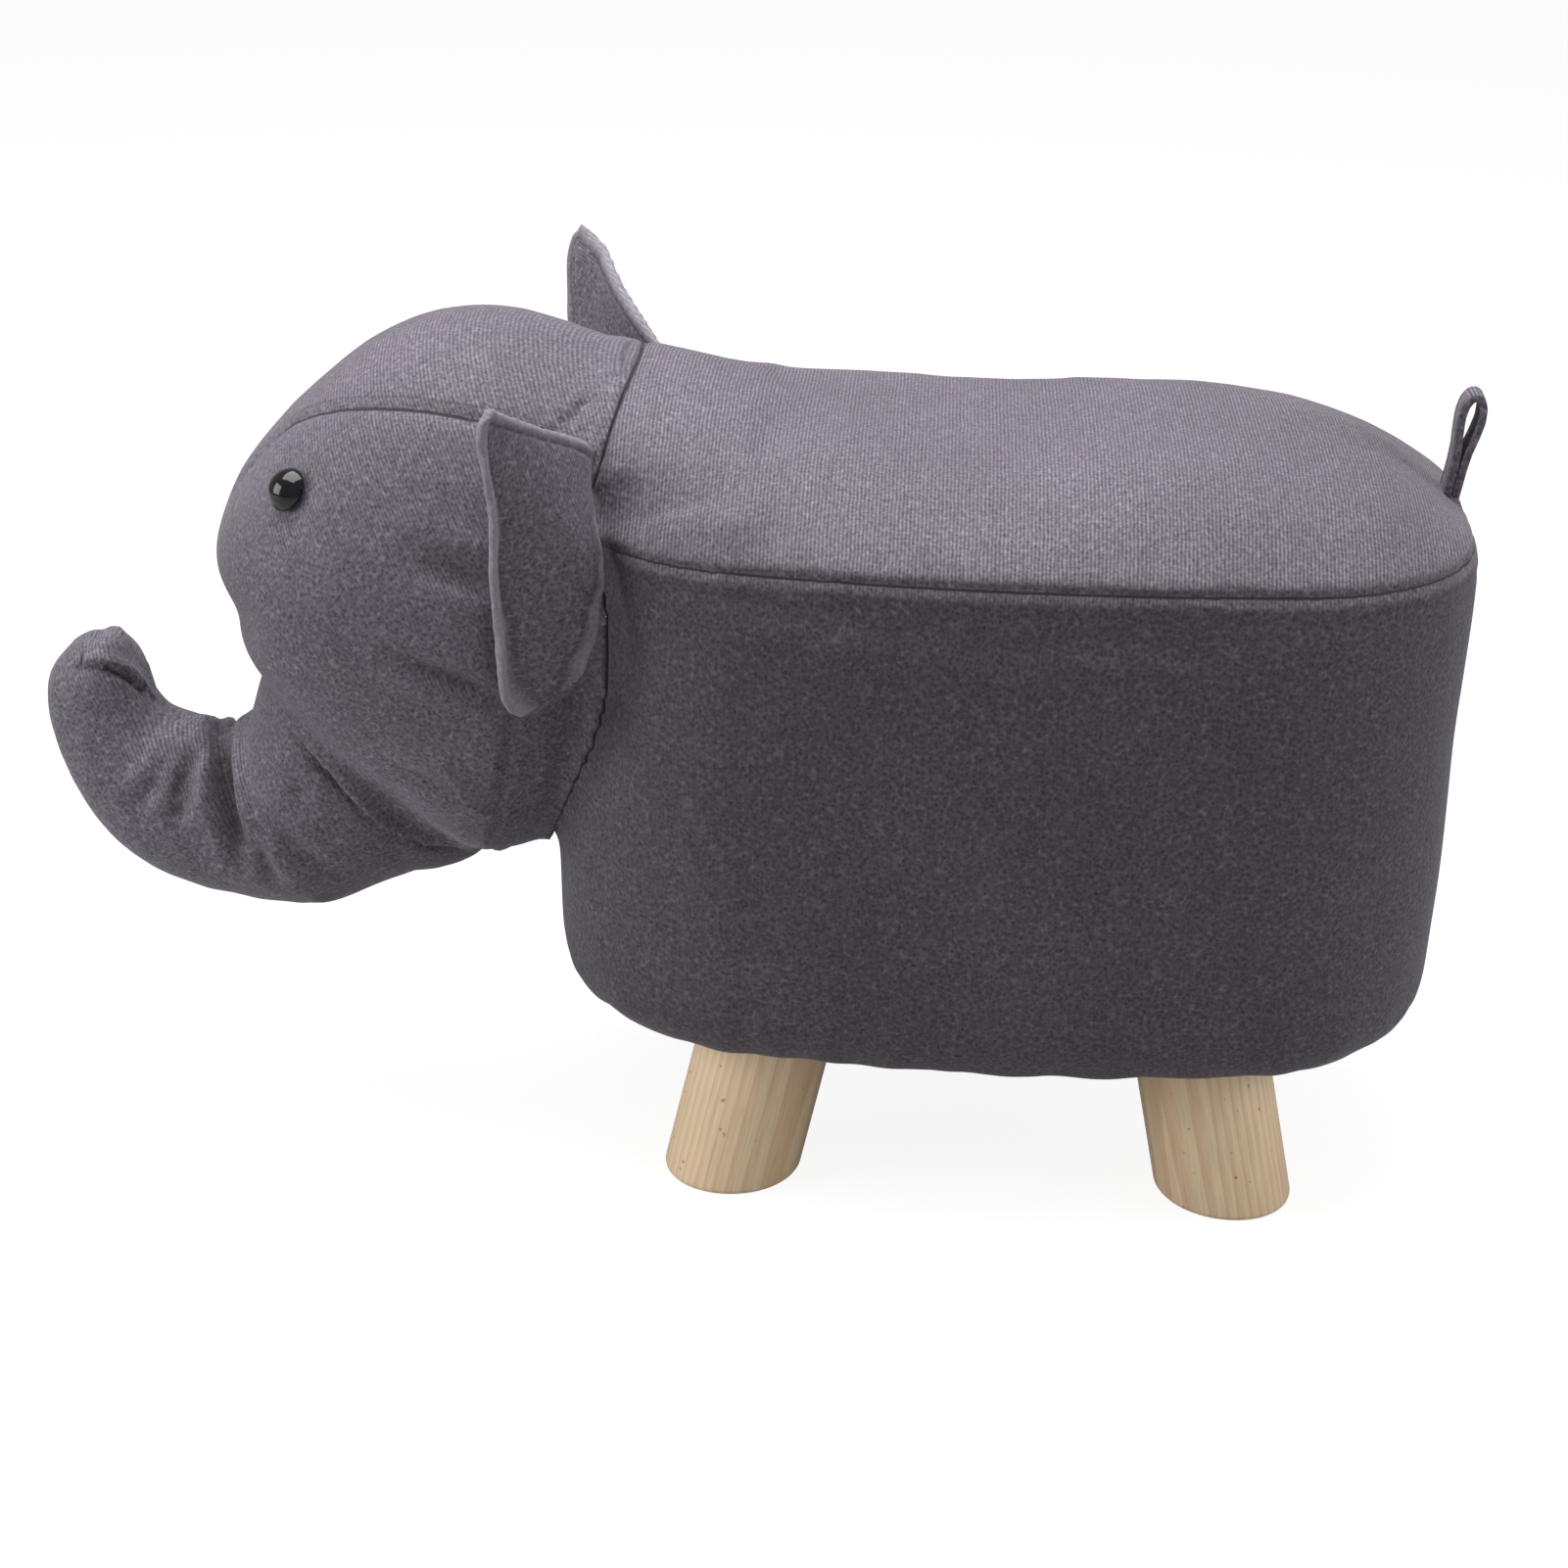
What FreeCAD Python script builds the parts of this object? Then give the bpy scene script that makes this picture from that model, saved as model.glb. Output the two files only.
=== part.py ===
import FreeCAD, Part
import Sketcher
import math
import os
from types import SimpleNamespace

from FreeCAD import Placement, Rotation, Vector

# Elephant footstool: a padded seat on four splayed pine legs, with a stuffed
# head and trunk in front, two sewn ears and a strap loop for a tail.
# Millimetres. +Z is up, the head points along -X, and the left side is -Y.
# The pieces are built about the middle of the seat, and at the end the whole
# stool is carried along X until its box is centred over the origin.

doc = FreeCAD.newDocument("ElephantFootstool")
sheet = doc.addObject("Spreadsheet::Sheet", "Sizes")

drivingSizes = {
    # Seat, measured on the outside of the cover
    "seatHalfLength": 187.5,
    "seatHalfWidth": 124,
    "seatEndRadius": 1187,
    "seatSideRadius": 825,
    "seatCornerRadius": 88.5,
    "undersideHeight": 69,
    "seamHeight": 288.5,
    "seatCrown": 34.8,
    "bottomRound": 28.5,
    "wallDraw": 2.2,
    # Cloth and foam
    "coverThickness": 1.2,
    "layerGap": 0.3,
    "hemWidth": 12,
    "sideFoamThickness": 32,
    "seatFoamOverBoard": 20,
    "dustCoverThickness": 0.6,
    "dustCoverInset": 4,
    # Carcass
    "baseBoardThickness": 15,
    "seatBoardThickness": 12,
    "wrapThickness": 3,
    "postWidth": 28,
    "postInset": 34.8,
    # Screws that hold the boards to the posts
    "screwRadius": 2,
    "screwLength": 38,
    "screwHeadRadius": 4,
    "screwHeadHeight": 2.6,
    "screwPoint": 4,
    "screwTipRadius": 0.5,
    # Staples under the hem
    "stapleWidth": 10,
    "stapleWire": 1.1,
    "stapleDepth": 6,
    "stapleInset": 6,
    # Legs
    "legRadius": 28.5,
    "legFromEnd": 81.5,
    "legFromSide": 57,
    "legSplay": 0.22,
    "legEdgeBevel": 2,
    "boltRadius": 4,
    "boltInLeg": 32,
    "boltAboveBoard": 4,
    "boltPoint": 3,
    "boltTipRadius": 2,
    "nutFlangeRadius": 11,
    "nutFlangeThickness": 1.5,
    "nutBarrelRadius": 5.2,
    "nutBarrelDepth": 11,
    "fitGap": 0.1,
    # Head
    "neckDepth": 13.5,
    "neckSeamDepth": 27,
    "neckLean": 17,
    "saddleLength": 100,
    "headLength": 160.1,
    "headBelowSeam": 47.5,
    "headHalfHeight": 106,
    "headHalfWidth": 97,
    "gussetHalfWidth": 54,
    "gussetTipHalfWidth": 4,
    # Trunk
    "trunkReach": 225.2,
    "trunkTipBelow": 30,
    "trunkRootRadius": 51.5,
    # Eyes
    "eyeRadius": 9,
    "eyeDome": 6.5,
    "eyeRim": 1.2,
    "eyeAhead": 107.2,
    "eyeAside": 72.1,
    "eyeAbove": 52.7,
    "eyeShankRadius": 2.4,
    "eyeShankLength": 13,
    "eyeWasherRadius": 8,
    "eyeWasherThickness": 1.4,
    # Ears, as places on the left ear from the middle of the seat
    "earRootTopAhead": 162.5,
    "earRootTopAside": 58,
    "earRootTopAbove": 76,
    "earRootLowAhead": 177.5,
    "earRootLowAside": 90,
    "earRootLowAbove": -16,
    "earFoldTopAhead": 162,
    "earFoldLowAhead": 176,
    "earFoldAside": 94,
    "earCornerAhead": 194,
    "earCornerAside": 142.3,
    "earCornerAbove": 116,
    "earTipAhead": 187.5,
    "earTipAside": 108,
    "earTipAbove": -23,
    "earBow": 7,
    "earWadding": 2,
    # Tail
    "tailHeight": 45,
    "tailWidth": 15,
    "tailStrapWidth": 14,
    "tailStrapThickness": 4.2,
    "tailFromSeam": 10,
    "tailLean": 3,
    # One overrun for every cut
    "overrun": 5,
}

earSwing = 20  # degrees that the ears fold forward and back

for row, (name, number) in enumerate(drivingSizes.items(), 1):
    sheet.set("A%d" % row, name)
    sheet.set("B%d" % row, str(number))
    sheet.setAlias("B%d" % row, name)
doc.recompute()

size = SimpleNamespace(**{name: float(sheet.get(name)) for name in drivingSizes})

# Places worked out from the driving sizes
coverAndGap = size.coverThickness + size.layerGap
frameInset = coverAndGap + size.sideFoamThickness
frameHalfLength = size.seatHalfLength - frameInset
frameHalfWidth = size.seatHalfWidth - frameInset
frameRadius = size.seatCornerRadius - frameInset / 2
baseBottom = size.undersideHeight + coverAndGap
baseTop = baseBottom + size.baseBoardThickness
seatBoardTop = size.seamHeight - size.seatFoamOverBoard
seatBoardBottom = seatBoardTop - size.seatBoardThickness
headMiddleHeight = size.seamHeight - size.headBelowSeam
trunkTipHeight = headMiddleHeight - size.trunkTipBelow
legFootX = size.seatHalfLength - size.legFromEnd
legFootY = size.seatHalfWidth - size.legFromSide
legTopX = legFootX - size.legSplay * baseBottom
legTopY = legFootY - size.legSplay * baseBottom
postX = frameHalfLength - size.wrapThickness - size.postInset
postY = frameHalfWidth - size.wrapThickness - size.postInset

subparts = []


def keep(piece, label):
    piece.Label = label
    subparts.append(piece)
    return piece


def feature(shape, label):
    piece = doc.addObject("Part::Feature", label)
    piece.Shape = shape
    return keep(piece, label)


def bind(piece, **expressions):
    for name, expression in expressions.items():
        piece.setExpression(name.replace("_", "."), expression)


# Outlines of arcs

def ovalPoints(halfLength, halfWidth, endRadius, sideRadius, cornerRadius):
    """Eight tangent arcs, each as three points: bowed ends and sides with round corners between."""
    endCentre = halfLength - endRadius
    sideCentre = halfWidth - sideRadius
    endReach = endRadius - cornerRadius
    sideReach = sideRadius - cornerRadius
    apart = math.hypot(endCentre, sideCentre)
    along = (endReach ** 2 - sideReach ** 2 + apart ** 2) / (2 * apart)
    aside = math.sqrt(endReach ** 2 - along ** 2)
    towardX, towardY = -endCentre / apart, sideCentre / apart
    cornerX = endCentre + along * towardX - aside * towardY
    cornerY = along * towardY + aside * towardX
    endAngle = math.atan2(cornerY, cornerX - endCentre)
    sideAngle = math.atan2(cornerY - sideCentre, cornerX)
    middleAngle = (endAngle + sideAngle) / 2
    endX = endCentre + endRadius * math.cos(endAngle)
    endY = endRadius * math.sin(endAngle)
    sideX = sideRadius * math.cos(sideAngle)
    sideY = sideCentre + sideRadius * math.sin(sideAngle)
    middleX = cornerX + cornerRadius * math.cos(middleAngle)
    middleY = cornerY + cornerRadius * math.sin(middleAngle)
    return [
        ((endX, -endY), (halfLength, 0), (endX, endY)),
        ((endX, endY), (middleX, middleY), (sideX, sideY)),
        ((sideX, sideY), (0, halfWidth), (-sideX, sideY)),
        ((-sideX, sideY), (-middleX, middleY), (-endX, endY)),
        ((-endX, endY), (-halfLength, 0), (-endX, -endY)),
        ((-endX, -endY), (-middleX, -middleY), (-sideX, -sideY)),
        ((-sideX, -sideY), (0, -halfWidth), (sideX, -sideY)),
        ((sideX, -sideY), (middleX, -middleY), (endX, -endY)),
    ]


def leftOval(*measures):
    """The arcs of the same outline that lie on its left, from the far end round to the near one."""
    arcs = ovalPoints(*measures)
    halfLength, endCentre = measures[0], measures[0] - measures[2]
    endX, endY = arcs[0][2]
    angle = math.atan2(endY, endX - endCentre) / 2
    turnX, turnY = endCentre + measures[2] * math.cos(angle), measures[2] * math.sin(angle)
    around = [arc[::-1] for arc in reversed(arcs[5:])]
    return ([((halfLength, 0), (turnX, -turnY), (endX, -endY))] + around
            + [((-endX, -endY), (-turnX, -turnY), (-halfLength, 0))])


def arcRing(arcs, centre, across, upward, scale=1):
    """The arcs as a wire in space, closed with a straight line where they are only half an outline."""
    def place(point):
        return centre + across * (point[0] * scale) + upward * (point[1] * scale)

    edges = [Part.Arc(*[place(point) for point in arc]).toShape() for arc in arcs]
    first, last = place(arcs[0][0]), place(arcs[-1][2])
    if first.distanceToPoint(last) > size.fitGap:
        edges.append(Part.LineSegment(last, first).toShape())
    return Part.Wire(edges)


def seatRing(height, inset=0, scale=1):
    arcs = ovalPoints(size.seatHalfLength - inset, size.seatHalfWidth - inset, size.seatEndRadius - inset,
                      size.seatSideRadius - inset, size.seatCornerRadius - inset)
    return arcRing(arcs, Vector(0, 0, height), Vector(1, 0, 0), Vector(0, 1, 0), scale)


def seatWall(inset, low, high):
    """The block under the seam: its lower edge is rolled under, and the wall draws in a little."""
    radius = size.bottomRound - inset
    rings = []
    steps = 4
    for step in range(steps + 1):
        angle = math.radians(90 * step / steps)
        rings.append(seatRing(low + radius * (1 - math.cos(angle)),
                              inset + size.wallDraw + radius * (1 - math.sin(angle))))
    rings.append(seatRing(high, inset))
    return Part.makeLoft(rings, True, True)


crownShares = [1, 0.97, 0.93, 0.87, 0.78, 0.64, 0.44, 0.2]


def seatCrown(inset):
    """The cushion's crown over the seam, on outlines that shrink as it rises."""
    rise = size.seatCrown - inset
    rings = [seatRing(size.seamHeight + rise * (1 - share ** 4), inset, share) for share in crownShares]
    return Part.makeLoft(rings, True, False)


# The top panel climbs to the back of the head. A station is a share of the saddle's length behind the
# neck seam, and the shares of the head's half height and half width there.
saddleShares = [(0.0, 0.935, 0.93), (0.25, 0.853, 0.95), (0.58, 0.79, 0.93), (1.0, 0.75, 0.87)]
roundness = 1.1
cornerShare = 0.8


def headOval(outline, halfHeight, halfWidth, shrink, offset):
    """The arcs of a section through the head, upright and rounder than an ellipse."""
    ratio = math.sqrt(halfWidth / halfHeight)
    return outline(halfHeight * shrink - offset, halfWidth * shrink - offset,
                   roundness * halfWidth * ratio * shrink - offset,
                   roundness * halfHeight / ratio * shrink - offset,
                   cornerShare * min(halfHeight, halfWidth) * shrink - offset)


def saddleForm(inset, ahead=0):
    """The rise of the seat behind the head. Its front end leans as the neck seam does."""
    rings = []
    for number, (backShare, heightShare, widthShare) in enumerate(saddleShares):
        lean = size.neckLean * (1 - backShare)
        upward = Vector(math.sin(math.radians(lean)), 0, math.cos(math.radians(lean)))
        centre = Vector(-(size.seatHalfLength - size.neckSeamDepth) + size.saddleLength * backShare, 0, headMiddleHeight)
        if number == 0:
            centre.x -= ahead
        arcs = headOval(ovalPoints, size.headHalfHeight * heightShare / math.cos(math.radians(lean)),
                        size.headHalfWidth * widthShare, 1, inset)
        rings.append(arcRing(arcs, centre, upward, Vector(0, 1, 0)))
    above = Part.makeBox(2 * size.seatHalfLength, 2 * size.seatHalfWidth, size.headHalfHeight,
                         Vector(-size.seatHalfLength, -size.seatHalfWidth, size.seamHeight))
    return Part.makeLoft(rings, True, False).common(above)


def prism(ring, height):
    return Part.Face(ring).extrude(Vector(0, 0, height))


# Sketches

def newBody(label):
    body = doc.addObject("PartDesign::Body", label)
    body.Label = label
    return body


def newSketch(body, name, role="XY_Plane", lift=None):
    sketch = body.newObject("Sketcher::SketchObject", name)
    plane = [item for item in body.Origin.OriginFeatures if item.Role == role][0]
    sketch.AttachmentSupport = [(plane, "")]
    sketch.MapMode = "FlatFace"
    if lift:
        sketch.setExpression("AttachmentOffset.Base.z", lift)
    return sketch


def roundedRectangle(sketch, halfLength, halfWidth, radius, expressions):
    """A rectangle about the origin with round corners, driven by half length, half width and radius."""
    first = sketch.GeometryCount
    x, y = halfLength - radius, halfWidth - radius
    corners = [(x, -y, -90), (x, y, 0), (-x, y, 90), (-x, -y, 180)]
    lines = [((-x, -halfWidth), (x, -halfWidth)), ((halfLength, -y), (halfLength, y)),
             ((x, halfWidth), (-x, halfWidth)), ((-halfLength, y), (-halfLength, -y))]
    for line, (cornerX, cornerY, startAngle) in zip(lines, corners):
        sketch.addGeometry(Part.LineSegment(Vector(*line[0], 0), Vector(*line[1], 0)))
        circle = Part.Circle(Vector(cornerX, cornerY, 0), Vector(0, 0, 1), radius)
        sketch.addGeometry(Part.ArcOfCircle(circle, math.radians(startAngle), math.radians(startAngle + 90)))
    for side in range(4):
        line, arc, nextLine = first + 2 * side, first + 2 * side + 1, first + (2 * side + 2) % 8
        sketch.addConstraint(Sketcher.Constraint("Tangent", line, 2, arc, 1))
        sketch.addConstraint(Sketcher.Constraint("Tangent", arc, 2, nextLine, 1))
        sketch.addConstraint(Sketcher.Constraint("Vertical" if side % 2 else "Horizontal", line))
        if side:
            sketch.addConstraint(Sketcher.Constraint("Equal", first + 1, arc))
    sketch.addConstraint(Sketcher.Constraint("Symmetric", first, 1, first + 4, 1, -1, 1))
    lengthName = sketch.addConstraint(Sketcher.Constraint("DistanceX", first + 6, 1, first + 2, 1, 2 * halfLength))
    widthName = sketch.addConstraint(Sketcher.Constraint("DistanceY", first, 1, first + 4, 1, 2 * halfWidth))
    radiusName = sketch.addConstraint(Sketcher.Constraint("Radius", first + 1, radius))
    for constraint, expression in zip((lengthName, widthName, radiusName), expressions):
        sketch.setExpression("Constraints[%d]" % constraint, expression)


def circles(sketch, places, radius, radiusExpression, placeExpressions=None):
    """Equal circles at places in the four quarters, each tied to the same two distances."""
    for x, y in places:
        item = sketch.addGeometry(Part.Circle(Vector(x, y, 0), Vector(0, 0, 1), radius))
        radiusName = sketch.addConstraint(Sketcher.Constraint("Radius", item, radius))
        sketch.setExpression("Constraints[%d]" % radiusName, radiusExpression)
        if placeExpressions:
            for kind, value, expression in zip(("DistanceX", "DistanceY"), (x, y), placeExpressions):
                ends = (-1, 1, item, 3) if value > 0 else (item, 3, -1, 1)
                name = sketch.addConstraint(Sketcher.Constraint(kind, *ends, abs(value)))
                sketch.setExpression("Constraints[%d]" % name, expression)


def profile(sketch, corners, expressions):
    """A closed outline of straight lines. Each corner is tied to its two distances from the axes."""
    count = len(corners)
    for index in range(count):
        start, end = corners[index], corners[(index + 1) % count]
        sketch.addGeometry(Part.LineSegment(Vector(*start, 0), Vector(*end, 0)))
    for index in range(count):
        sketch.addConstraint(Sketcher.Constraint("Coincident", index, 2, (index + 1) % count, 1))
    for index, (corner, expression) in enumerate(zip(corners, expressions)):
        for kind, value, formula in zip(("DistanceX", "DistanceY"), corner, expression):
            name = sketch.addConstraint(Sketcher.Constraint(kind, -1, 1, index, 1, value))
            if formula:
                sketch.setExpression("Constraints[%d]" % name, formula)


def pad(body, name, sketch, length, reverse=False):
    item = body.newObject("PartDesign::Pad", name)
    item.Profile = sketch
    item.setExpression("Length", length)
    item.Reversed = reverse
    return item


def pocket(body, name, sketch, length, upward=True):
    """A cut from the sketch along +Z, or along -Z where upward is false."""
    item = body.newObject("PartDesign::Pocket", name)
    item.Profile = sketch
    item.setExpression("Length", length)
    item.Reversed = upward
    return item


quarters = [(sideX, sideY) for sideX in (-1, 1) for sideY in (-1, 1)]
legPlaces = [(sideX * legTopX, sideY * legTopY) for sideX, sideY in quarters]
postPlaces = [(sideX * postX, sideY * postY) for sideX, sideY in quarters]

# Formulas that several pieces share
insetText = "(Sizes.coverThickness + Sizes.layerGap + Sizes.sideFoamThickness)"
frameLengthText = "2 * (Sizes.seatHalfLength - %s)" % insetText
frameWidthText = "2 * (Sizes.seatHalfWidth - %s)" % insetText
frameRadiusText = "Sizes.seatCornerRadius - %s / 2" % insetText
boardTexts = (frameLengthText + " - 2 * Sizes.wrapThickness", frameWidthText + " - 2 * Sizes.wrapThickness",
              frameRadiusText + " - Sizes.wrapThickness")
baseBottomText = "Sizes.undersideHeight + Sizes.coverThickness + Sizes.layerGap"
baseTopText = baseBottomText + " + Sizes.baseBoardThickness"
seatBoardTopText = "Sizes.seamHeight - Sizes.seatFoamOverBoard"
seatBoardBottomText = seatBoardTopText + " - Sizes.seatBoardThickness"
postTexts = ("Sizes.seatHalfLength - %s - Sizes.wrapThickness - Sizes.postInset" % insetText,
             "Sizes.seatHalfWidth - %s - Sizes.wrapThickness - Sizes.postInset" % insetText)
legTopTexts = ("Sizes.seatHalfLength - Sizes.legFromEnd - Sizes.legSplay * (%s)" % baseBottomText,
               "Sizes.seatHalfWidth - Sizes.legFromSide - Sizes.legSplay * (%s)" % baseBottomText)
boardHalfLength = frameHalfLength - size.wrapThickness
boardHalfWidth = frameHalfWidth - size.wrapThickness
boardRadius = frameRadius - size.wrapThickness


# Carcass boards

def board(label, bottomText, thicknessText, headsBelow):
    """A plywood board with screw holes over the posts, whose heads are sunk in its outer face."""
    body = newBody(label)
    outline = newSketch(body, label + "Outline", lift=bottomText)
    roundedRectangle(outline, boardHalfLength, boardHalfWidth, boardRadius, boardTexts)
    pad(body, label + "Slab", outline, thicknessText)
    doc.recompute()
    holes = newSketch(body, label + "ScrewHoles", lift=bottomText)
    circles(holes, postPlaces, size.screwRadius + size.fitGap, "Sizes.screwRadius + Sizes.fitGap", postTexts)
    pocket(body, label + "ScrewBores", holes, thicknessText)
    doc.recompute()
    headLift = bottomText if headsBelow else bottomText + " + " + thicknessText
    heads = newSketch(body, label + "HeadPlaces", lift=headLift)
    circles(heads, postPlaces, size.screwHeadRadius + size.fitGap, "Sizes.screwHeadRadius + Sizes.fitGap", postTexts)
    pocket(body, label + "HeadSinks", heads, "Sizes.screwHeadHeight + Sizes.fitGap", upward=headsBelow)
    doc.recompute()
    return body


baseBoard = board("base_board", baseBottomText, "Sizes.baseBoardThickness", True)
boltHoles = newSketch(baseBoard, "BoltHoles", lift=baseBottomText)
circles(boltHoles, legPlaces, size.nutBarrelRadius + size.fitGap, "Sizes.nutBarrelRadius + Sizes.fitGap", legTopTexts)
pocket(baseBoard, "BoltBores", boltHoles, "Sizes.baseBoardThickness")
keep(baseBoard, "base_board")
keep(board("seat_board", seatBoardBottomText, "Sizes.seatBoardThickness", False), "seat_board")
doc.recompute()

# Bendy plywood wrapped round the edges of both boards
wrapBody = newBody("frame_wrap")
wrapSketch = newSketch(wrapBody, "WrapOutline", lift=baseBottomText)
roundedRectangle(wrapSketch, frameHalfLength, frameHalfWidth, frameRadius,
                 (frameLengthText, frameWidthText, frameRadiusText))
roundedRectangle(wrapSketch, boardHalfLength, boardHalfWidth, boardRadius, boardTexts)
pad(wrapBody, "WrapWall", wrapSketch, "%s - (%s)" % (seatBoardTopText, baseBottomText))
keep(wrapBody, "frame_wrap")

# Four posts between the boards
frontLeft = {"front_left": (-1, -1), "rear_left": (1, -1), "front_right": (-1, 1), "rear_right": (1, 1)}
for corner, (sideX, sideY) in frontLeft.items():
    post = newBody(corner + "_post")
    section = newSketch(post, corner + "PostSection", lift=baseTopText)
    halfWidth = size.postWidth / 2
    corners, texts = [], []
    for u, v in ((-1, -1), (1, -1), (1, 1), (-1, 1)):
        corners.append((sideX * postX + u * halfWidth, sideY * postY + v * halfWidth))
        texts.append(("%d * (%s) + %d * Sizes.postWidth / 2" % (sideX, postTexts[0], u),
                      "%d * (%s) + %d * Sizes.postWidth / 2" % (sideY, postTexts[1], v)))
    profile(section, corners, texts)
    pad(post, corner + "PostLength", section, "%s - (%s)" % (seatBoardBottomText, baseTopText))
    doc.recompute()
    for end, lift, length in (("Lower", baseTopText, "Sizes.screwLength - Sizes.baseBoardThickness"),
                              ("Upper", seatBoardBottomText, "Sizes.screwLength - Sizes.seatBoardThickness")):
        pilot = newSketch(post, corner + end + "Pilot", lift=lift)
        circles(pilot, [(sideX * postX, sideY * postY)], size.screwRadius + size.fitGap,
                "Sizes.screwRadius + Sizes.fitGap", postTexts)
        pocket(post, corner + end + "PilotBore", pilot, length + " + Sizes.fitGap", upward=end == "Lower")
        doc.recompute()
    keep(post, corner + "_post")


# Fasteners: each kind is turned once and mirrored to the four quarters

def turned(label, corners, texts, placeTexts):
    body = newBody(label)
    half = newSketch(body, label + "Half", role="XZ_Plane")
    profile(half, corners, texts)
    turn = body.newObject("PartDesign::Revolution", label + "Turn")
    turn.Profile = half
    turn.ReferenceAxis = (half, ["V_Axis"])
    turn.Angle = 360
    for name, text in zip(("Placement.Base.x", "Placement.Base.y", "Placement.Base.z"), placeTexts):
        body.setExpression(name, text)
    doc.recompute()
    return body


def fourOf(source, label):
    """The piece and its mirror images across both middle planes, as one group."""
    across = doc.addObject("Part::Mirroring", label + "Across")
    across.Source = source
    across.Normal = Vector(0, 1, 0)
    doc.recompute()
    images = [source, across]
    for image in (source, across):
        along = doc.addObject("Part::Mirroring", label + "Along")
        along.Source = image
        along.Normal = Vector(1, 0, 0)
        images.append(along)
    group = doc.addObject("Part::Compound", label)
    group.Links = images
    doc.recompute()
    return keep(group, label)


def screw(label, placeText, headDown):
    """A wood screw, head at its place and point away from it."""
    way = 1 if headDown else -1
    radius, head, headHeight = size.screwRadius, size.screwHeadRadius, size.screwHeadHeight
    length, point = size.screwLength, size.screwPoint
    corners = [(0, 0), (head, 0), (head, way * headHeight), (radius, way * headHeight),
               (radius, way * (length - point)), (size.screwTipRadius, way * length), (0, way * length)]
    sign = "" if headDown else "-"
    texts = [(None, None), ("Sizes.screwHeadRadius", None), ("Sizes.screwHeadRadius", sign + "Sizes.screwHeadHeight"),
             ("Sizes.screwRadius", sign + "Sizes.screwHeadHeight"),
             ("Sizes.screwRadius", sign + "(Sizes.screwLength - Sizes.screwPoint)"),
             ("Sizes.screwTipRadius", sign + "Sizes.screwLength"), (None, sign + "Sizes.screwLength")]
    place = ("-(%s)" % postTexts[0], "-(%s)" % postTexts[1], placeText)
    return turned(label + "Single", corners, texts, place)


fourOf(screw("base_screws", baseBottomText, True), "base_screws")
fourOf(screw("seat_screws", seatBoardTopText, False), "seat_screws")

legPlaceTexts = ("-(%s)" % legTopTexts[0], "-(%s)" % legTopTexts[1])
boltTop = size.baseBoardThickness + size.boltAboveBoard
boltCorners = [(0, -size.boltInLeg), (size.boltTipRadius, -size.boltInLeg),
               (size.boltRadius, size.boltPoint - size.boltInLeg),
               (size.boltRadius, boltTop), (0, boltTop)]
boltTexts = [(None, "-Sizes.boltInLeg"), ("Sizes.boltTipRadius", "-Sizes.boltInLeg"),
             ("Sizes.boltRadius", "Sizes.boltPoint - Sizes.boltInLeg"),
             ("Sizes.boltRadius", "Sizes.baseBoardThickness + Sizes.boltAboveBoard"),
             (None, "Sizes.baseBoardThickness + Sizes.boltAboveBoard")]
fourOf(turned("leg_boltsSingle", boltCorners, boltTexts, legPlaceTexts + (baseBottomText,)), "leg_bolts")

nutBore = size.boltRadius + size.fitGap
nutCorners = [(nutBore, -size.nutBarrelDepth), (size.nutBarrelRadius, -size.nutBarrelDepth), (size.nutBarrelRadius, 0),
              (size.nutFlangeRadius, 0), (size.nutFlangeRadius, size.nutFlangeThickness),
              (nutBore, size.nutFlangeThickness)]
nutBoreText = "Sizes.boltRadius + Sizes.fitGap"
nutTexts = [(nutBoreText, "-Sizes.nutBarrelDepth"), ("Sizes.nutBarrelRadius", "-Sizes.nutBarrelDepth"),
            ("Sizes.nutBarrelRadius", None), ("Sizes.nutFlangeRadius", None),
            ("Sizes.nutFlangeRadius", "Sizes.nutFlangeThickness"), (nutBoreText, "Sizes.nutFlangeThickness")]
fourOf(turned("leg_nutsSingle", nutCorners, nutTexts, legPlaceTexts + (baseTopText,)), "leg_nuts")

# Legs: a pine dowel set at a slant, cut level at the floor and under the base board
legSlant = Vector(-size.legSplay, -size.legSplay, -1)
legFoot = Vector(-legFootX, -legFootY, 0)
slantLength = legSlant.Length
dowel = doc.addObject("Part::Cylinder", "LegDowel")
bind(dowel, Radius="Sizes.legRadius")
dowelTop = legFoot - legSlant * (baseBottom + size.legRadius)
dowel.Height = slantLength * (baseBottom + 2 * size.legRadius)
dowel.Placement = Placement(dowelTop, Rotation(Vector(0, 0, 1), legSlant))
slab = doc.addObject("Part::Box", "LegSlab")
slab.Length = slab.Width = 2 * (legFootX + size.legRadius)
bind(slab, Height=baseBottomText)
slab.Placement.Base = legFoot - Vector(slab.Length.Value, slab.Width.Value, 0) / 2
levelled = doc.addObject("Part::Common", "LegLevelled")
levelled.Base, levelled.Tool = dowel, slab
bore = doc.addObject("Part::Cylinder", "LegBore")
bind(bore, Radius="Sizes.boltRadius + Sizes.fitGap", Height="Sizes.boltInLeg + Sizes.fitGap + Sizes.overrun",
     Placement_Base_x=legPlaceTexts[0], Placement_Base_y=legPlaceTexts[1],
     Placement_Base_z="%s - Sizes.boltInLeg - Sizes.fitGap" % baseBottomText)
bored = doc.addObject("Part::Cut", "LegBored")
bored.Base, bored.Tool = levelled, bore
doc.recompute()
footEdge = [number for number, edge in enumerate(bored.Shape.Edges, 1)
            if edge.BoundBox.ZMax < size.legEdgeBevel and edge.Length > size.legRadius]
legShape = doc.addObject("Part::Chamfer", "front_left_leg")
legShape.Base = bored
legShape.Edges = [(number, size.legEdgeBevel, size.legEdgeBevel) for number in footEdge]
doc.recompute()
keep(legShape, "front_left_leg")
legImages = {}
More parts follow.
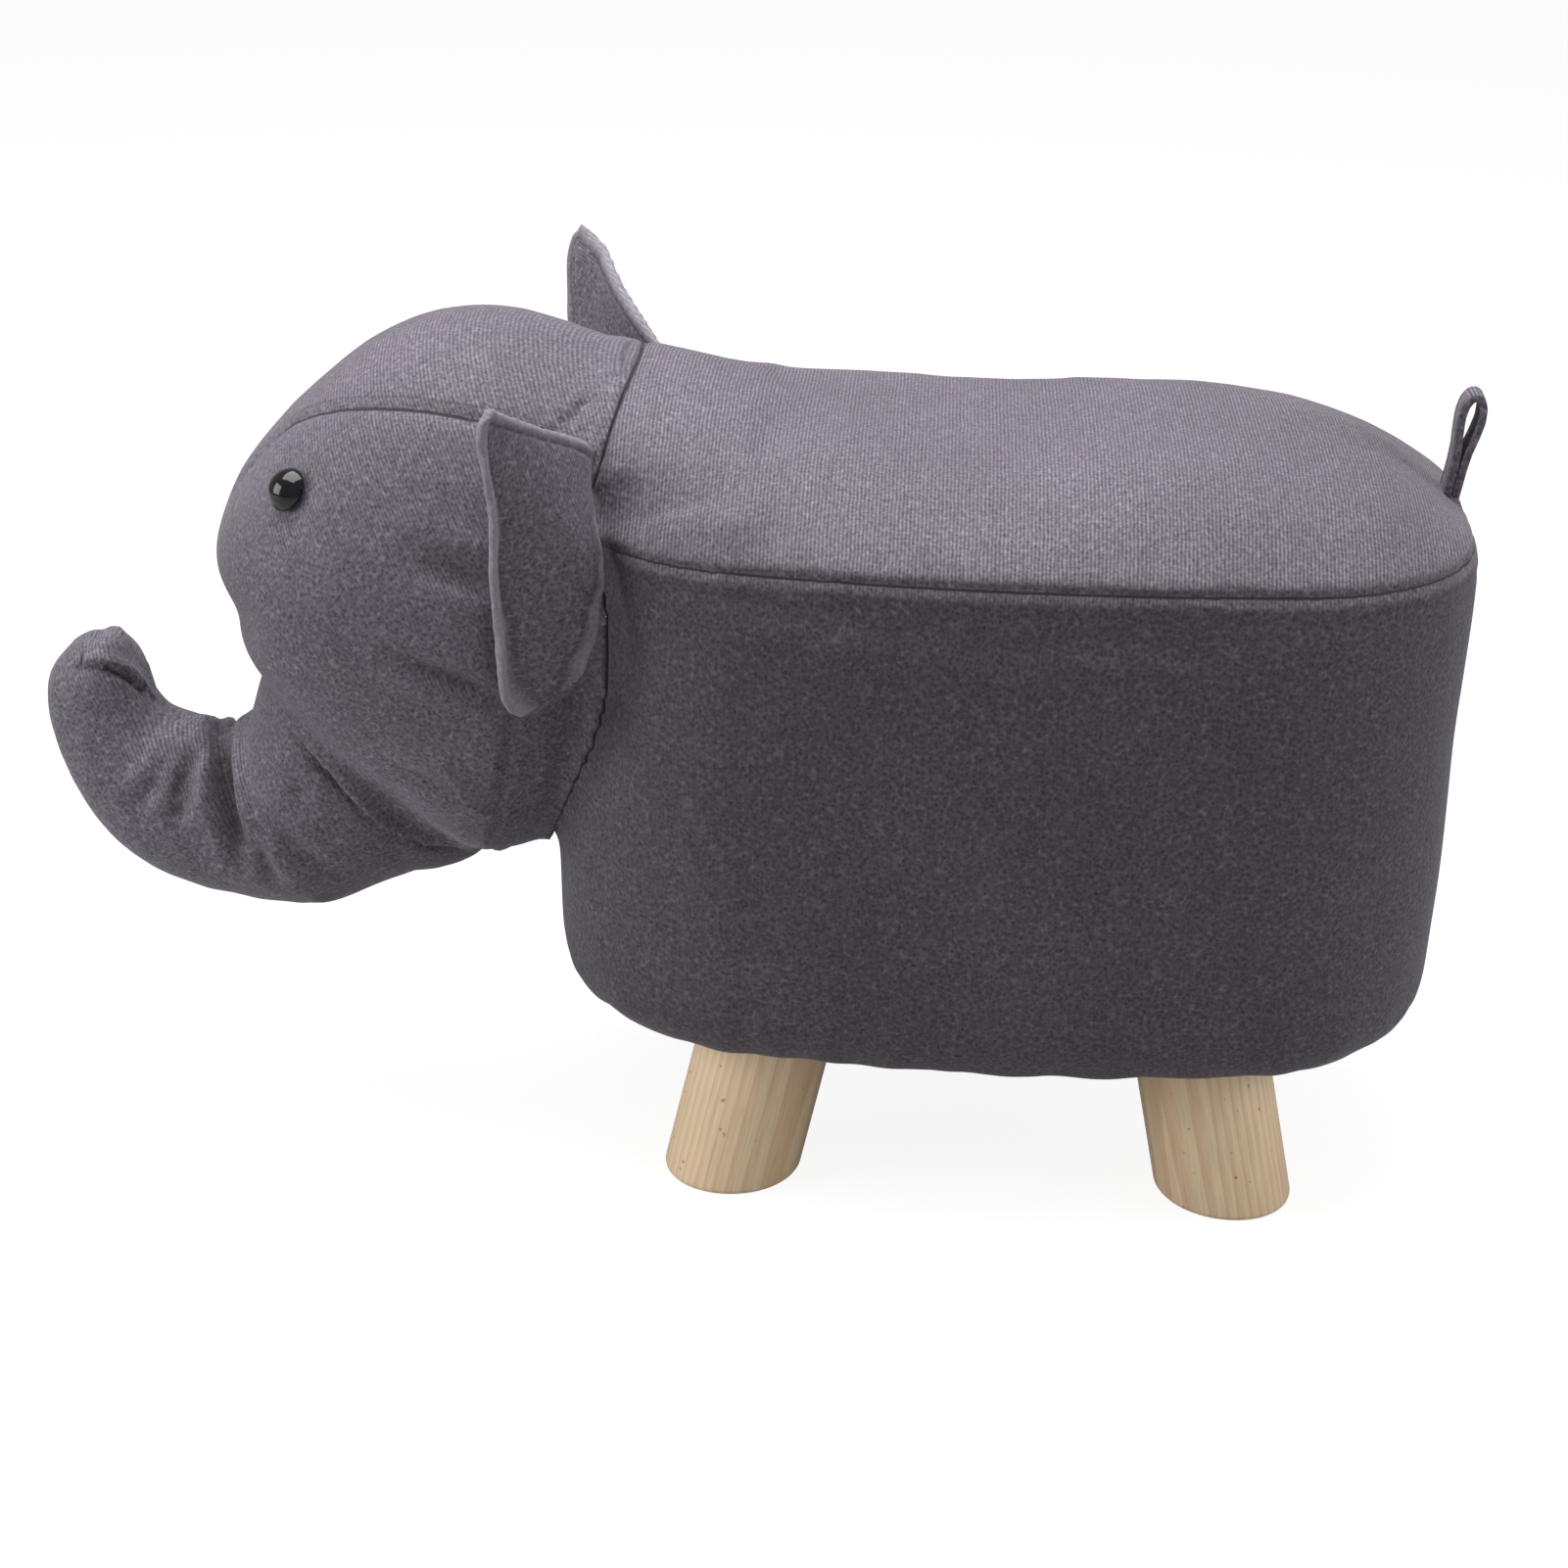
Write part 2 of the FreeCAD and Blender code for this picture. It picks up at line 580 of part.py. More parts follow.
for label, source, normal in (("front_right_leg", legShape, Vector(0, 1, 0)), ("rear_left_leg", legShape, Vector(1, 0, 0))):
    legImages[label] = doc.addObject("Part::Mirroring", label)
    legImages[label].Source, legImages[label].Normal = source, normal
    keep(legImages[label], label)
doc.recompute()
rearRightLeg = doc.addObject("Part::Mirroring", "rear_right_leg")
rearRightLeg.Source, rearRightLeg.Normal = legImages["front_right_leg"], Vector(1, 0, 0)
keep(rearRightLeg, "rear_right_leg")
doc.recompute()


def legClearance(gap, low, high):
    """Upright holes that let the slanted legs through a sheet between two heights."""
    holes = []
    for sideX, sideY in quarters:
        rings = []
        for height in (low, high):
            centre = Vector(sideX * (legFootX - size.legSplay * height),
                            sideY * (legFootY - size.legSplay * height), height)
            rings.append(Part.Wire(Part.makeCircle(size.legRadius * slantLength + gap, centre)))
        holes.append(Part.makeLoft(rings, True, True))
    return holes


# Foam
wrapHole = Part.makeBox(2 * (frameHalfLength + size.layerGap), 2 * (frameHalfWidth + size.layerGap), size.seamHeight,
                        Vector(-frameHalfLength - size.layerGap, -frameHalfWidth - size.layerGap, 0))
uprights = [edge for edge in wrapHole.Edges if edge.BoundBox.ZLength > size.undersideHeight]
wrapHole = wrapHole.makeFillet(frameRadius + size.layerGap, uprights)
foamTop = seatBoardTop + size.layerGap
sideFoamBlock = seatWall(coverAndGap, baseBottom, size.seamHeight)
trimBlock = prism(seatRing(foamTop - size.layerGap, -size.overrun), size.seamHeight)
feature(sideFoamBlock.cut(wrapHole).cut(trimBlock), "side_foam")
padBase = prism(seatRing(foamTop, coverAndGap), size.seamHeight - foamTop)
feature(padBase.fuse([seatCrown(coverAndGap), saddleForm(coverAndGap)]).removeSplitter(), "seat_foam")

# Cover: top panel and side band meet at the seam, and the band's hem turns in under the base
panelInside = seatCrown(size.coverThickness).fuse(saddleForm(size.coverThickness, size.layerGap))
feature(seatCrown(0).fuse(saddleForm(0)).cut(panelInside), "cover_top_panel")
band = seatWall(0, size.undersideHeight, size.seamHeight).cut(
    seatWall(size.coverThickness, size.undersideHeight + size.coverThickness, size.seamHeight))
hemOpening = prism(seatRing(size.undersideHeight - size.overrun, size.bottomRound + size.hemWidth), 2 * size.overrun)
band = band.cut(hemOpening)
for hole in legClearance(size.layerGap, size.undersideHeight - size.overrun, size.undersideHeight + size.overrun):
    band = band.cut(hole)
feature(band, "cover_side_band")
dustTop = size.undersideHeight - size.layerGap
dustSheet = prism(seatRing(dustTop - size.dustCoverThickness, size.bottomRound + size.dustCoverInset),
                  size.dustCoverThickness)
for hole in legClearance(size.layerGap, size.undersideHeight - size.overrun, size.undersideHeight + size.overrun):
    dustSheet = dustSheet.cut(hole)
feature(dustSheet, "dust_cover")


# Head and trunk. A station is a share of the length ahead of the neck, a rise of the middle, and the
# shares of the half height and the half width there.
headShares = [(-0.16, 0.01, 0.92, 0.92), (0.0, 0.0, 0.95, 0.95), (0.2, 0.008, 1.0, 1.0), (0.41, 0.0, 0.99, 0.99),
              (0.61, -0.012, 0.865, 0.925), (0.785, -0.035, 0.655, 0.78), (0.92, -0.02, 0.4, 0.52),
              (0.982, 0.015, 0.18, 0.25), (1.0, 0.02, 0.06, 0.08)]
# A trunk station: shares of the reach and of the tip's height, the slant of the section, and the radius
trunkShares = [(0.2, 0.94, 118, 0.8), (0.3, 0.787, 115, 1.06), (0.513, 0.652, 103, 0.98), (0.619, 0.613, 86, 0.8),
               (0.7216, 0.623, 67, 0.711), (0.8215, 0.692, 47, 0.61), (0.888, 0.815, 5, 0.491),
               (0.9, 0.905, -2, 0.4), (0.887, 0.978, -8, 0.24)]
neckX = -(size.seatHalfLength - size.neckDepth)


def headForm(inset, leftOnly=False):
    rings = []
    for aheadShare, riseShare, heightShare, widthShare in headShares:
        halfHeight = size.headHalfHeight * heightShare
        halfWidth = size.headHalfWidth * widthShare
        # The smallest rings keep their shape, and the foremost one steps back by the inset
        shrink = 1 - inset / size.headHalfWidth if heightShare < 0.3 else 1
        offset = inset if heightShare >= 0.3 else 0
        arcs = headOval(leftOval if leftOnly else ovalPoints, halfHeight, halfWidth, shrink, offset)
        back = inset if aheadShare > 0.9 else 0
        centre = Vector(neckX - size.headLength * aheadShare + back, 0,
                        headMiddleHeight + size.headHalfHeight * riseShare)
        rings.append(arcRing(arcs, centre, Vector(0, 0, 1), Vector(0, 1, 0)))
    return Part.makeLoft(rings, True, False)


def trunkStation(share):
    reachShare, heightShare, slant, radiusShare = share
    centre = Vector(-(size.seatHalfLength + size.trunkReach * reachShare), 0, trunkTipHeight * heightShare)
    inward = Vector(math.cos(math.radians(slant)), 0, math.sin(math.radians(slant)))
    return centre, inward, size.trunkRootRadius * radiusShare


def circleRing(centre, across, upward, radius, leftOnly):
    """A circle of four arcs whose joints stand off the middle plane, or its left half as two arcs and a line."""
    start, arcCount = (0, 2) if leftOnly else (1, 4)
    points = [(math.cos(math.radians(45 * step)), -math.sin(math.radians(45 * step)))
              for step in range(start, start + 2 * arcCount + 1)]
    arcs = [points[step:step + 3] for step in range(0, 2 * arcCount, 2)]
    return arcRing(arcs, centre, across, upward, radius)


def trunkForm(inset, leftOnly=False):
    rings = []
    for number, share in enumerate(trunkShares):
        centre, inward, radius = trunkStation(share)
        forward = inward.cross(Vector(0, 1, 0))
        if number == len(trunkShares) - 1:
            centre = centre - forward * inset
        rings.append(circleRing(centre, inward, Vector(0, 1, 0), radius - inset, leftOnly))
    return Part.makeLoft(rings, True, False)


seatOuter = seatWall(-size.layerGap, size.undersideHeight, size.seamHeight).fuse(
    [seatCrown(-size.layerGap), saddleForm(-size.layerGap, size.layerGap)])
headOuter, headCore = headForm(0), headForm(coverAndGap)
skinOutside = headForm(0, True).fuse(trunkForm(0, True))
skinInside = headForm(size.coverThickness, True).fuse(trunkForm(size.coverThickness, True))
leftSkin = skinOutside.cut(skinInside).cut(seatOuter)

# Eyes: each sits where the head comes nearest to a place beside the cheek, so its shank goes in square,
# through the cloth and a lock washer behind it
eyeAim = Vector(-(size.seatHalfLength + size.eyeAhead), -size.eyeAside, headMiddleHeight + size.eyeAbove)
eyeSpot = Part.Vertex(eyeAim).distToShape(headOuter)[1][0][1]
eyeWay = (eyeAim - eyeSpot).normalize()
print("eye at", eyeSpot, "facing", eyeWay)


def along(way, start, end, radius, origin):
    return Part.makeCylinder(radius, end - start, origin + way * start, way)


def mirrored(shape):
    return shape.mirror(Vector(0, 0, 0), Vector(0, 1, 0))


washerFace = -(size.coverThickness + 2 * size.layerGap)
washerBack = washerFace - size.eyeWasherThickness
shankBore = along(eyeWay, -size.eyeShankLength - size.layerGap, size.overrun, size.eyeShankRadius + size.layerGap, eyeSpot)
washerBore = along(eyeWay, washerBack - size.layerGap, 0, size.eyeWasherRadius + size.layerGap, eyeSpot)
domeRadius = (size.eyeRadius ** 2 + size.eyeDome ** 2) / (2 * size.eyeDome)
domeMiddle = size.eyeRim + size.eyeDome - domeRadius
domeTurn = math.asin(size.eyeRadius / domeRadius) / 2
domeHalfway = (domeRadius * math.sin(domeTurn), domeMiddle + domeRadius * math.cos(domeTurn))
outline = [(0, -size.eyeShankLength), (size.eyeShankRadius, -size.eyeShankLength), (size.eyeShankRadius, size.layerGap),
           (size.eyeRadius, size.layerGap), (size.eyeRadius, size.eyeRim)]
corners = [Vector(x, 0, z) for x, z in outline]
crest = Vector(0, 0, size.eyeRim + size.eyeDome)
edges = [Part.LineSegment(start, end).toShape() for start, end in zip(corners, corners[1:])]
edges += [Part.Arc(corners[-1], Vector(domeHalfway[0], 0, domeHalfway[1]), crest).toShape(),
          Part.LineSegment(crest, corners[0]).toShape()]
leftEye = Part.Face(Part.Wire(edges)).revolve(Vector(0, 0, 0), Vector(0, 0, 1), 360)
leftEye.Placement = Placement(eyeSpot, Rotation(Vector(0, 0, 1), eyeWay))
leftWasher = along(eyeWay, washerBack, washerFace, size.eyeWasherRadius, eyeSpot).cut(
    along(eyeWay, washerBack - size.overrun, washerFace + size.overrun, size.eyeShankRadius + size.fitGap, eyeSpot))
feature(leftEye, "left_eye")
feature(mirrored(leftEye), "right_eye")
feature(leftWasher, "left_eye_washer")
feature(mirrored(leftWasher), "right_eye_washer")

leftSkin = leftSkin.cut(shankBore)
headStuffing = headCore.cut(seatOuter).cut([shankBore, washerBore, mirrored(shankBore), mirrored(washerBore)])
feature(headStuffing, "head_stuffing")

# The gusset is a strip over the crown of the head that narrows to a point above the trunk
gussetFront = neckX - size.headLength - size.overrun
gussetBack = -size.seatHalfLength + size.seatCornerRadius
backHalf, frontHalf = size.gussetHalfWidth, size.gussetTipHalfWidth
gussetPlan = Part.makePolygon([Vector(gussetBack, -backHalf, 0), Vector(gussetFront, -frontHalf, 0),
                               Vector(gussetFront, frontHalf, 0), Vector(gussetBack, backHalf, 0),
                               Vector(gussetBack, -backHalf, 0)])
gussetPlan.translate(Vector(0, 0, headMiddleHeight))
gussetTool = Part.Face(gussetPlan).extrude(Vector(0, 0, size.headHalfHeight + size.overrun))
leftGusset = leftSkin.common(gussetTool)
feature(leftGusset.fuse(mirrored(leftGusset)).removeSplitter(), "head_gusset")


def beyond(centre, way, reach):
    """A block on one side of a plane through the centre, square to the way."""
    block = Part.makeBox(2 * reach, 2 * reach, reach, Vector(-reach, -reach, 0))
    block.Placement = Placement(centre, Rotation(Vector(0, 0, 1), way))
    return block


tipCentre, tipInward, tipRadius = trunkStation(trunkShares[-2])
tipBlock = beyond(tipCentre, tipInward.cross(Vector(0, 1, 0)), size.trunkRootRadius / 2)
leftTip = leftSkin.common(tipBlock)
feature(leftTip.fuse(mirrored(leftTip)).removeSplitter(), "trunk_tip_patch")
leftSide = leftSkin.cut(gussetTool).cut(tipBlock)
feature(leftSide, "head_side_left")
feature(mirrored(leftSide), "head_side_right")

# The trunk's filling, in three lengths that each bend only a little
leftFilling = trunkForm(coverAndGap, True).cut(headForm(size.coverThickness, True)).cut(seatOuter)
rootCentre, rootInward, rootRadius = trunkStation(trunkShares[3])
curlCentre, curlInward, curlRadius = trunkStation(trunkShares[5])
beyondRoot = beyond(rootCentre, rootInward.cross(Vector(0, 1, 0)), size.trunkReach)
beyondCurl = beyond(curlCentre, curlInward.cross(Vector(0, 1, 0)), size.trunkReach)
for filling, label in ((leftFilling.cut(beyondRoot), "trunk_root_stuffing"),
                       (leftFilling.common(beyondRoot).cut(beyondCurl), "trunk_curl_stuffing"),
                       (leftFilling.common(beyondRoot).common(beyondCurl), "trunk_tip_stuffing")):
    feature(filling.fuse(mirrored(filling)), label)

# Ears: two cloth layers with a thin wadding between them, sewn in along the neck
earRootTop = Vector(-size.earRootTopAhead, -size.earRootTopAside, headMiddleHeight + size.earRootTopAbove)
earRootLow = Vector(-size.earRootLowAhead, -size.earRootLowAside, headMiddleHeight + size.earRootLowAbove)
earCorner = Vector(-size.earCornerAhead, -size.earCornerAside, headMiddleHeight + size.earCornerAbove)
earTip = Vector(-size.earTipAhead, -size.earTipAside, headMiddleHeight + size.earTipAbove)
# A station of the ear: the shares of the way up, of the full breadth there, and of the bow
earShares = [(0.0, 0.55, 0.2), (0.06, 0.86, 0.25), (0.2, 1.0, 0.4), (0.5, 1.0, 0.7), (0.8, 1.0, 0.95),
             (0.95, 0.99, 1.0), (1.0, 0.93, 1.0)]


def earLayer(near, far):
    """The part of the ear between two depths behind its middle surface."""
    rings = []
    for upShare, breadthShare, bowShare in earShares:
        root = earRootLow + (earRootTop - earRootLow) * upShare
        free = earTip + (earCorner - earTip) * upShare
        free = root + (free - root) * breadthShare
        outward = free - root
        behind = outward.cross(earRootTop - earRootLow).normalize()
        middle = (root + free) / 2 + behind * (size.earBow * bowShare)
        points = [[place + behind * depth for place in (root, middle, free)] for depth in (near, far)]
        rings.append(Part.Wire([
            Part.Arc(*points[0]).toShape(),
            Part.LineSegment(points[0][2], points[1][2]).toShape(),
            Part.Arc(*reversed(points[1])).toShape(),
            Part.LineSegment(points[1][0], points[0][0]).toShape(),
        ]))
    return Part.makeLoft(rings, True, False)


# The ears fold about a line beside the neck, so their roots clear the head and the seat all the way
foldLow = Vector(-size.earFoldLowAhead, -size.earFoldAside, headMiddleHeight + size.earRootLowAbove)
foldTop = Vector(-size.earFoldTopAhead, -size.earFoldAside, headMiddleHeight + size.earRootTopAbove)
neighbours = []
for share in (-1, 0, 1):
    for shape in (headForm(-size.layerGap, True), seatOuter):
        swung = shape.copy()
        swung.rotate(foldLow, foldTop - foldLow, share * earSwing)
        neighbours.append(swung)
clothFace = size.earWadding / 2
clothBack = clothFace + size.coverThickness
for name, near, far in (("outer", clothFace, clothBack), ("wadding", size.fitGap - clothFace, clothFace - size.fitGap),
                        ("lining", -clothBack, -clothFace)):
    layer = earLayer(near, far)
    for neighbour in neighbours:
        layer = layer.cut(neighbour)
    feature(layer, "left_ear_" + name)
    feature(mirrored(layer), "right_ear_" + name)

# Tail: a folded strap whose two ends are caught in the rear seam
tailX = size.seatHalfLength - size.tailFromSeam
tailHalf = size.tailWidth / 2
crownTop = seatCrown(0)


def panelPoint(x):
    """Where an upright line in the middle plane leaves the top panel."""
    upright = Part.makeLine(Vector(x, 0, size.seamHeight), Vector(x, 0, size.seamHeight + size.seatCrown))
    return Vector(x, 0, upright.common(crownTop).BoundBox.ZMax)


uphill = (panelPoint(tailX - size.layerGap) - panelPoint(tailX + size.layerGap)).normalize()
tailBody = newBody("tail_loop")
tailSketch = newSketch(tailBody, "TailOutline", role="XZ_Plane")
tailRise = size.tailHeight - size.tailWidth


def slot(sketch, low, high, radius, radiusText, highText, lowText):
    """A long round-ended outline on the vertical axis."""
    first = sketch.GeometryCount
    upper = Part.Circle(Vector(0, high, 0), Vector(0, 0, 1), radius)
    lower = Part.Circle(Vector(0, low, 0), Vector(0, 0, 1), radius)
    sketch.addGeometry(Part.ArcOfCircle(upper, 0, math.pi))
    sketch.addGeometry(Part.LineSegment(Vector(-radius, high, 0), Vector(-radius, low, 0)))
    sketch.addGeometry(Part.ArcOfCircle(lower, math.pi, 2 * math.pi))
    sketch.addGeometry(Part.LineSegment(Vector(radius, low, 0), Vector(radius, high, 0)))
    for item in range(4):
        sketch.addConstraint(Sketcher.Constraint("Tangent", first + item, 2, first + (item + 1) % 4, 1))
    sketch.addConstraint(Sketcher.Constraint("Vertical", first + 1))
    for arc in (first, first + 2):
        sketch.addConstraint(Sketcher.Constraint("PointOnObject", arc, 3, -2))
    radiusName = sketch.addConstraint(Sketcher.Constraint("Radius", first, radius))
    highName = sketch.addConstraint(Sketcher.Constraint("DistanceY", -1, 1, first, 3, high))
    lowName = sketch.addConstraint(Sketcher.Constraint("DistanceY", -1, 1, first + 2, 3, low))
    for name, text in ((radiusName, radiusText), (highName, highText), (lowName, lowText)):
        if text:
            sketch.setExpression("Constraints[%d]" % name, text)


slot(tailSketch, 0, tailRise, tailHalf, "Sizes.tailWidth / 2", "Sizes.tailHeight - Sizes.tailWidth", None)
strap = pad(tailBody, "TailStrap", tailSketch, "Sizes.tailStrapWidth")
strap.Midplane = True
doc.recompute()
slitSketch = newSketch(tailBody, "TailSlit", role="XZ_Plane")
slitLow = tailRise / 3
slot(slitSketch, slitLow, tailRise, tailHalf - size.tailStrapThickness, "Sizes.tailWidth / 2 - Sizes.tailStrapThickness",
     "Sizes.tailHeight - Sizes.tailWidth", "(Sizes.tailHeight - Sizes.tailWidth) / 3")
slit = pocket(tailBody, "TailOpening", slitSketch, "Sizes.tailStrapWidth + Sizes.overrun")
slit.Midplane = True
doc.recompute()
tailFoot = panelPoint(tailX) + Vector(0, 1, 0).cross(uphill) * (tailHalf + size.layerGap)
print("tail foot", tailFoot, "slope", round(math.degrees(math.atan2(uphill.z, -uphill.x)), 1))
tailBody.Placement = Placement(tailFoot, Rotation(Vector(0, 1, 0), size.tailLean))
keep(tailBody, "tail_loop")


# Staples along the hem, under the base board
def staple(centre, alongWay):
    acrossWay = Vector(0, 0, 1).cross(alongWay)
    half, wire = size.stapleWidth / 2, size.stapleWire
    corner = centre - alongWay * half - acrossWay * (wire / 2)
    turn = Rotation(Vector(1, 0, 0), alongWay)
    crownBar = Part.makeBox(size.stapleWidth, wire, wire)
    crownBar.Placement = Placement(corner, turn)
    prongs = []
    for start in (0, size.stapleWidth - wire):
        prong = Part.makeBox(wire, wire, size.stapleDepth)
        prong.Placement = Placement(corner + alongWay * start, turn)
        prongs.append(prong)
    return crownBar.fuse(prongs).removeSplitter()


stapleInset = size.bottomRound + size.dustCoverInset + size.stapleInset
stapleBottom = dustTop - size.dustCoverThickness - size.stapleWire
stapleLength = size.seatHalfLength - stapleInset
stapleWidthLine = size.seatHalfWidth - stapleInset
staples = []
for share in (-0.5, 0, 0.5):
    for side in (-1, 1):
        bow = size.seatSideRadius - math.sqrt(size.seatSideRadius ** 2 - (stapleLength * share / 2) ** 2)
        staples.append(staple(Vector(stapleLength * share / 2, side * (stapleWidthLine - bow), stapleBottom),
                              Vector(1, 0, 0)))
        staples.append(staple(Vector(side * stapleLength, stapleWidthLine * share / 2, stapleBottom), Vector(0, 1, 0)))
feature(Part.makeCompound(staples), "hem_staples")

# Carry the whole stool along X, so that its box is centred over the origin
doc.recompute()
boxes = [piece.Shape.optimalBoundingBox() for piece in subparts]
front, rear = min(box.XMin for box in boxes), max(box.XMax for box in boxes)
centring = Placement(Vector(-(front + rear) / 2, 0, 0), Rotation())
print("seat middle lies at x =", round(-(front + rear) / 2, 3))

os.makedirs("parts", exist_ok=True)
for item in doc.Objects:
    for state in item.State:
        if state in ("Invalid", "Error"):
            raise RuntimeError("%s is %s" % (item.Label, state))
total = 0
for piece in subparts:
    shape = piece.Shape
    if shape.isNull() or not shape.isValid() or not shape.Solids:
        raise RuntimeError("%s has no valid solid" % piece.Label)
    carried = shape.copy()
    carried.Placement = centring * carried.Placement
    carried.exportStep(os.path.join("parts", piece.Label + ".step"))
    total += 1
print(total, "sub-parts written")
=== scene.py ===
# Elephant footstool: grey velour over foam and wadding, on four turned pine legs.
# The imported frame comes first, then the camera and the light, then each soft piece over its own CAD solids.
import math

import bpy
import numpy as np
from mathutils import Matrix, Vector, kdtree, noise
from mathutils.bvhtree import BVHTree


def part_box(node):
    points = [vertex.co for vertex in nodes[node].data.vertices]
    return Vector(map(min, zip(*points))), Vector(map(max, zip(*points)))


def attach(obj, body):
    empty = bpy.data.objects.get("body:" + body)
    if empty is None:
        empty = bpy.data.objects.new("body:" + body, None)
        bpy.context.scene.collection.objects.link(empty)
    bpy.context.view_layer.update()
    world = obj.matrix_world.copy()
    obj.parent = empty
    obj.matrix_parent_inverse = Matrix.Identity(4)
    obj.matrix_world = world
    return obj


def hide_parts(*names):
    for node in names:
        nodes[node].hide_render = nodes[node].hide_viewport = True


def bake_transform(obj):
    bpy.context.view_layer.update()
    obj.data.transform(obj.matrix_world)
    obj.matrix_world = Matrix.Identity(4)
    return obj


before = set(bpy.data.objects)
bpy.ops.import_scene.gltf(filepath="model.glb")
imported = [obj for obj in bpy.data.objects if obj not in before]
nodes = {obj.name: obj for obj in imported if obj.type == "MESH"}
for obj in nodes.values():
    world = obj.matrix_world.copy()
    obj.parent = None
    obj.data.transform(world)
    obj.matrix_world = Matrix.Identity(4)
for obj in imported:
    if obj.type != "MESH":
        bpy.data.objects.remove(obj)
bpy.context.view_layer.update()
boardLow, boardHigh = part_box("base_board")
seatMiddle = (boardLow.x + boardHigh.x) / 2
print("stage: frame loaded with", len(nodes), "nodes")


def place(x, y, z):
    # millimetres from the middle of the seat, as metres in the frame
    return Vector((seatMiddle + x / 1000, y / 1000, z / 1000))


# camera, at the height and side of the photograph
view = {"azimuth": 2.6, "elevation": 23.75, "roll": 1.61, "distance": 1.3299,
        "aimAhead": -90.98, "aimHeight": 150.55, "lens": 70.32}


def addCamera():
    azimuth, elevation, roll = (math.radians(view[key]) for key in ("azimuth", "elevation", "roll"))
    back = Vector((math.sin(azimuth) * math.cos(elevation), -math.cos(azimuth) * math.cos(elevation),
                   math.sin(elevation)))
    right = (-back).cross(Vector((0, 0, 1))).normalized()
    up = right.cross(-back)
    across = right * math.cos(roll) + up * math.sin(roll)
    upward = up * math.cos(roll) - right * math.sin(roll)
    turn = Matrix((across, upward, back)).transposed().to_4x4()
    spot = place(view["aimAhead"], 0, view["aimHeight"]) + back * view["distance"]
    bpy.ops.object.camera_add()
    camera = bpy.context.object
    camera.name = "photo_camera"
    camera.matrix_world = Matrix.Translation(spot) @ turn
    camera.data.sensor_width = 36
    camera.data.lens = view["lens"]
    camera.data.clip_end = 50
    bpy.context.scene.camera = camera


addCamera()


# nodes and colours
def linear(hexText):
    # sRGB hex to the linear colour that shaders use
    parts = [int(hexText[i:i + 2], 16) / 255 for i in (1, 3, 5)]
    return tuple(c / 12.92 if c <= 0.04045 else ((c + 0.055) / 1.055) ** 2.4 for c in parts) + (1.0,)


def addNode(tree, kind, links=None, **settings):
    # links gives each input a value or another node's output
    node = tree.nodes.new(kind)
    for key, value in settings.items():
        setattr(node, key, value)
    for key, value in (links or {}).items():
        if isinstance(value, bpy.types.NodeSocket):
            tree.links.new(value, node.inputs[key])
        else:
            node.inputs[key].default_value = value
    return node


def startMaterial(name):
    material = bpy.data.materials.new(name)
    material.use_nodes = True
    tree = material.node_tree
    tree.nodes.clear()
    shader = addNode(tree, "ShaderNodeBsdfPrincipled")
    output = addNode(tree, "ShaderNodeOutputMaterial", {"Surface": shader.outputs["BSDF"]})
    output.location = (400, 0)
    where = addNode(tree, "ShaderNodeTexCoord")
    return material, tree, shader, where


def calc(tree, operation, *values):
    return addNode(tree, "ShaderNodeMath", dict(enumerate(values)), operation=operation).outputs[0]


def rescale(tree, value, source=(0.0, 1.0), target=(0.0, 1.0), steps="LINEAR"):
    return addNode(tree, "ShaderNodeMapRange", {"Value": value, "From Min": source[0], "From Max": source[1],
                                                "To Min": target[0], "To Max": target[1]},
                   interpolation_type=steps).outputs[0]


def mixTones(tree, share, first, second):
    return addNode(tree, "ShaderNodeMix", {0: share, 6: first, 7: second}, data_type="RGBA").outputs[2]


def mixHeights(tree, share, first, second):
    return addNode(tree, "ShaderNodeMix", {0: share, 2: first, 3: second}).outputs[0]


def grainNoise(tree, spot, scale, detail):
    return addNode(tree, "ShaderNodeTexNoise", {"Vector": spot, "Scale": scale, "Detail": detail}).outputs[0]


def addBump(tree, shader, height, strength, distance):
    bump = addNode(tree, "ShaderNodeBump", {"Height": height, "Strength": strength, "Distance": distance})
    tree.links.new(bump.outputs[0], shader.inputs["Normal"])


def useMaterial(piece, material):
    piece.data.materials.clear()
    piece.data.materials.append(material)


# light: a high soft box, a weaker one ahead of the head, a strip behind the tail
lamps = {"key": {"spot": (-200, 120, 1500), "aim": (0, 0, 200), "size": 1.3, "power": 27},
         "front": {"spot": (-1500, -500, 620), "aim": (-250, 0, 200), "size": 0.9, "power": 12},
         "rear": {"spot": (1500, -300, 700), "aim": (150, 0, 250), "size": 0.8, "power": 8}}
room = {"fill": 0.3, "white": 1.0, "floorGrey": "#C0C0C0", "floorWhiteShare": 0.8, "floorGlow": 1.12,
        "floorSize": 12}


def addLamp(name, spot, aim, size, power):
    start, end = place(*spot), place(*aim)
    bpy.ops.object.light_add(type="AREA", location=start)
    lamp = bpy.context.object
    lamp.name = name + "_lamp"
    lamp.data.shape = "SQUARE"
    lamp.data.size = size
    lamp.data.energy = power
    lamp.rotation_euler = (end - start).to_track_quat("-Z", "Y").to_euler()


def seenByCamera(tree):
    path = addNode(tree, "ShaderNodeLightPath")
    return calc(tree, "MAXIMUM", path.outputs["Is Camera Ray"], path.outputs["Is Transmission Ray"])


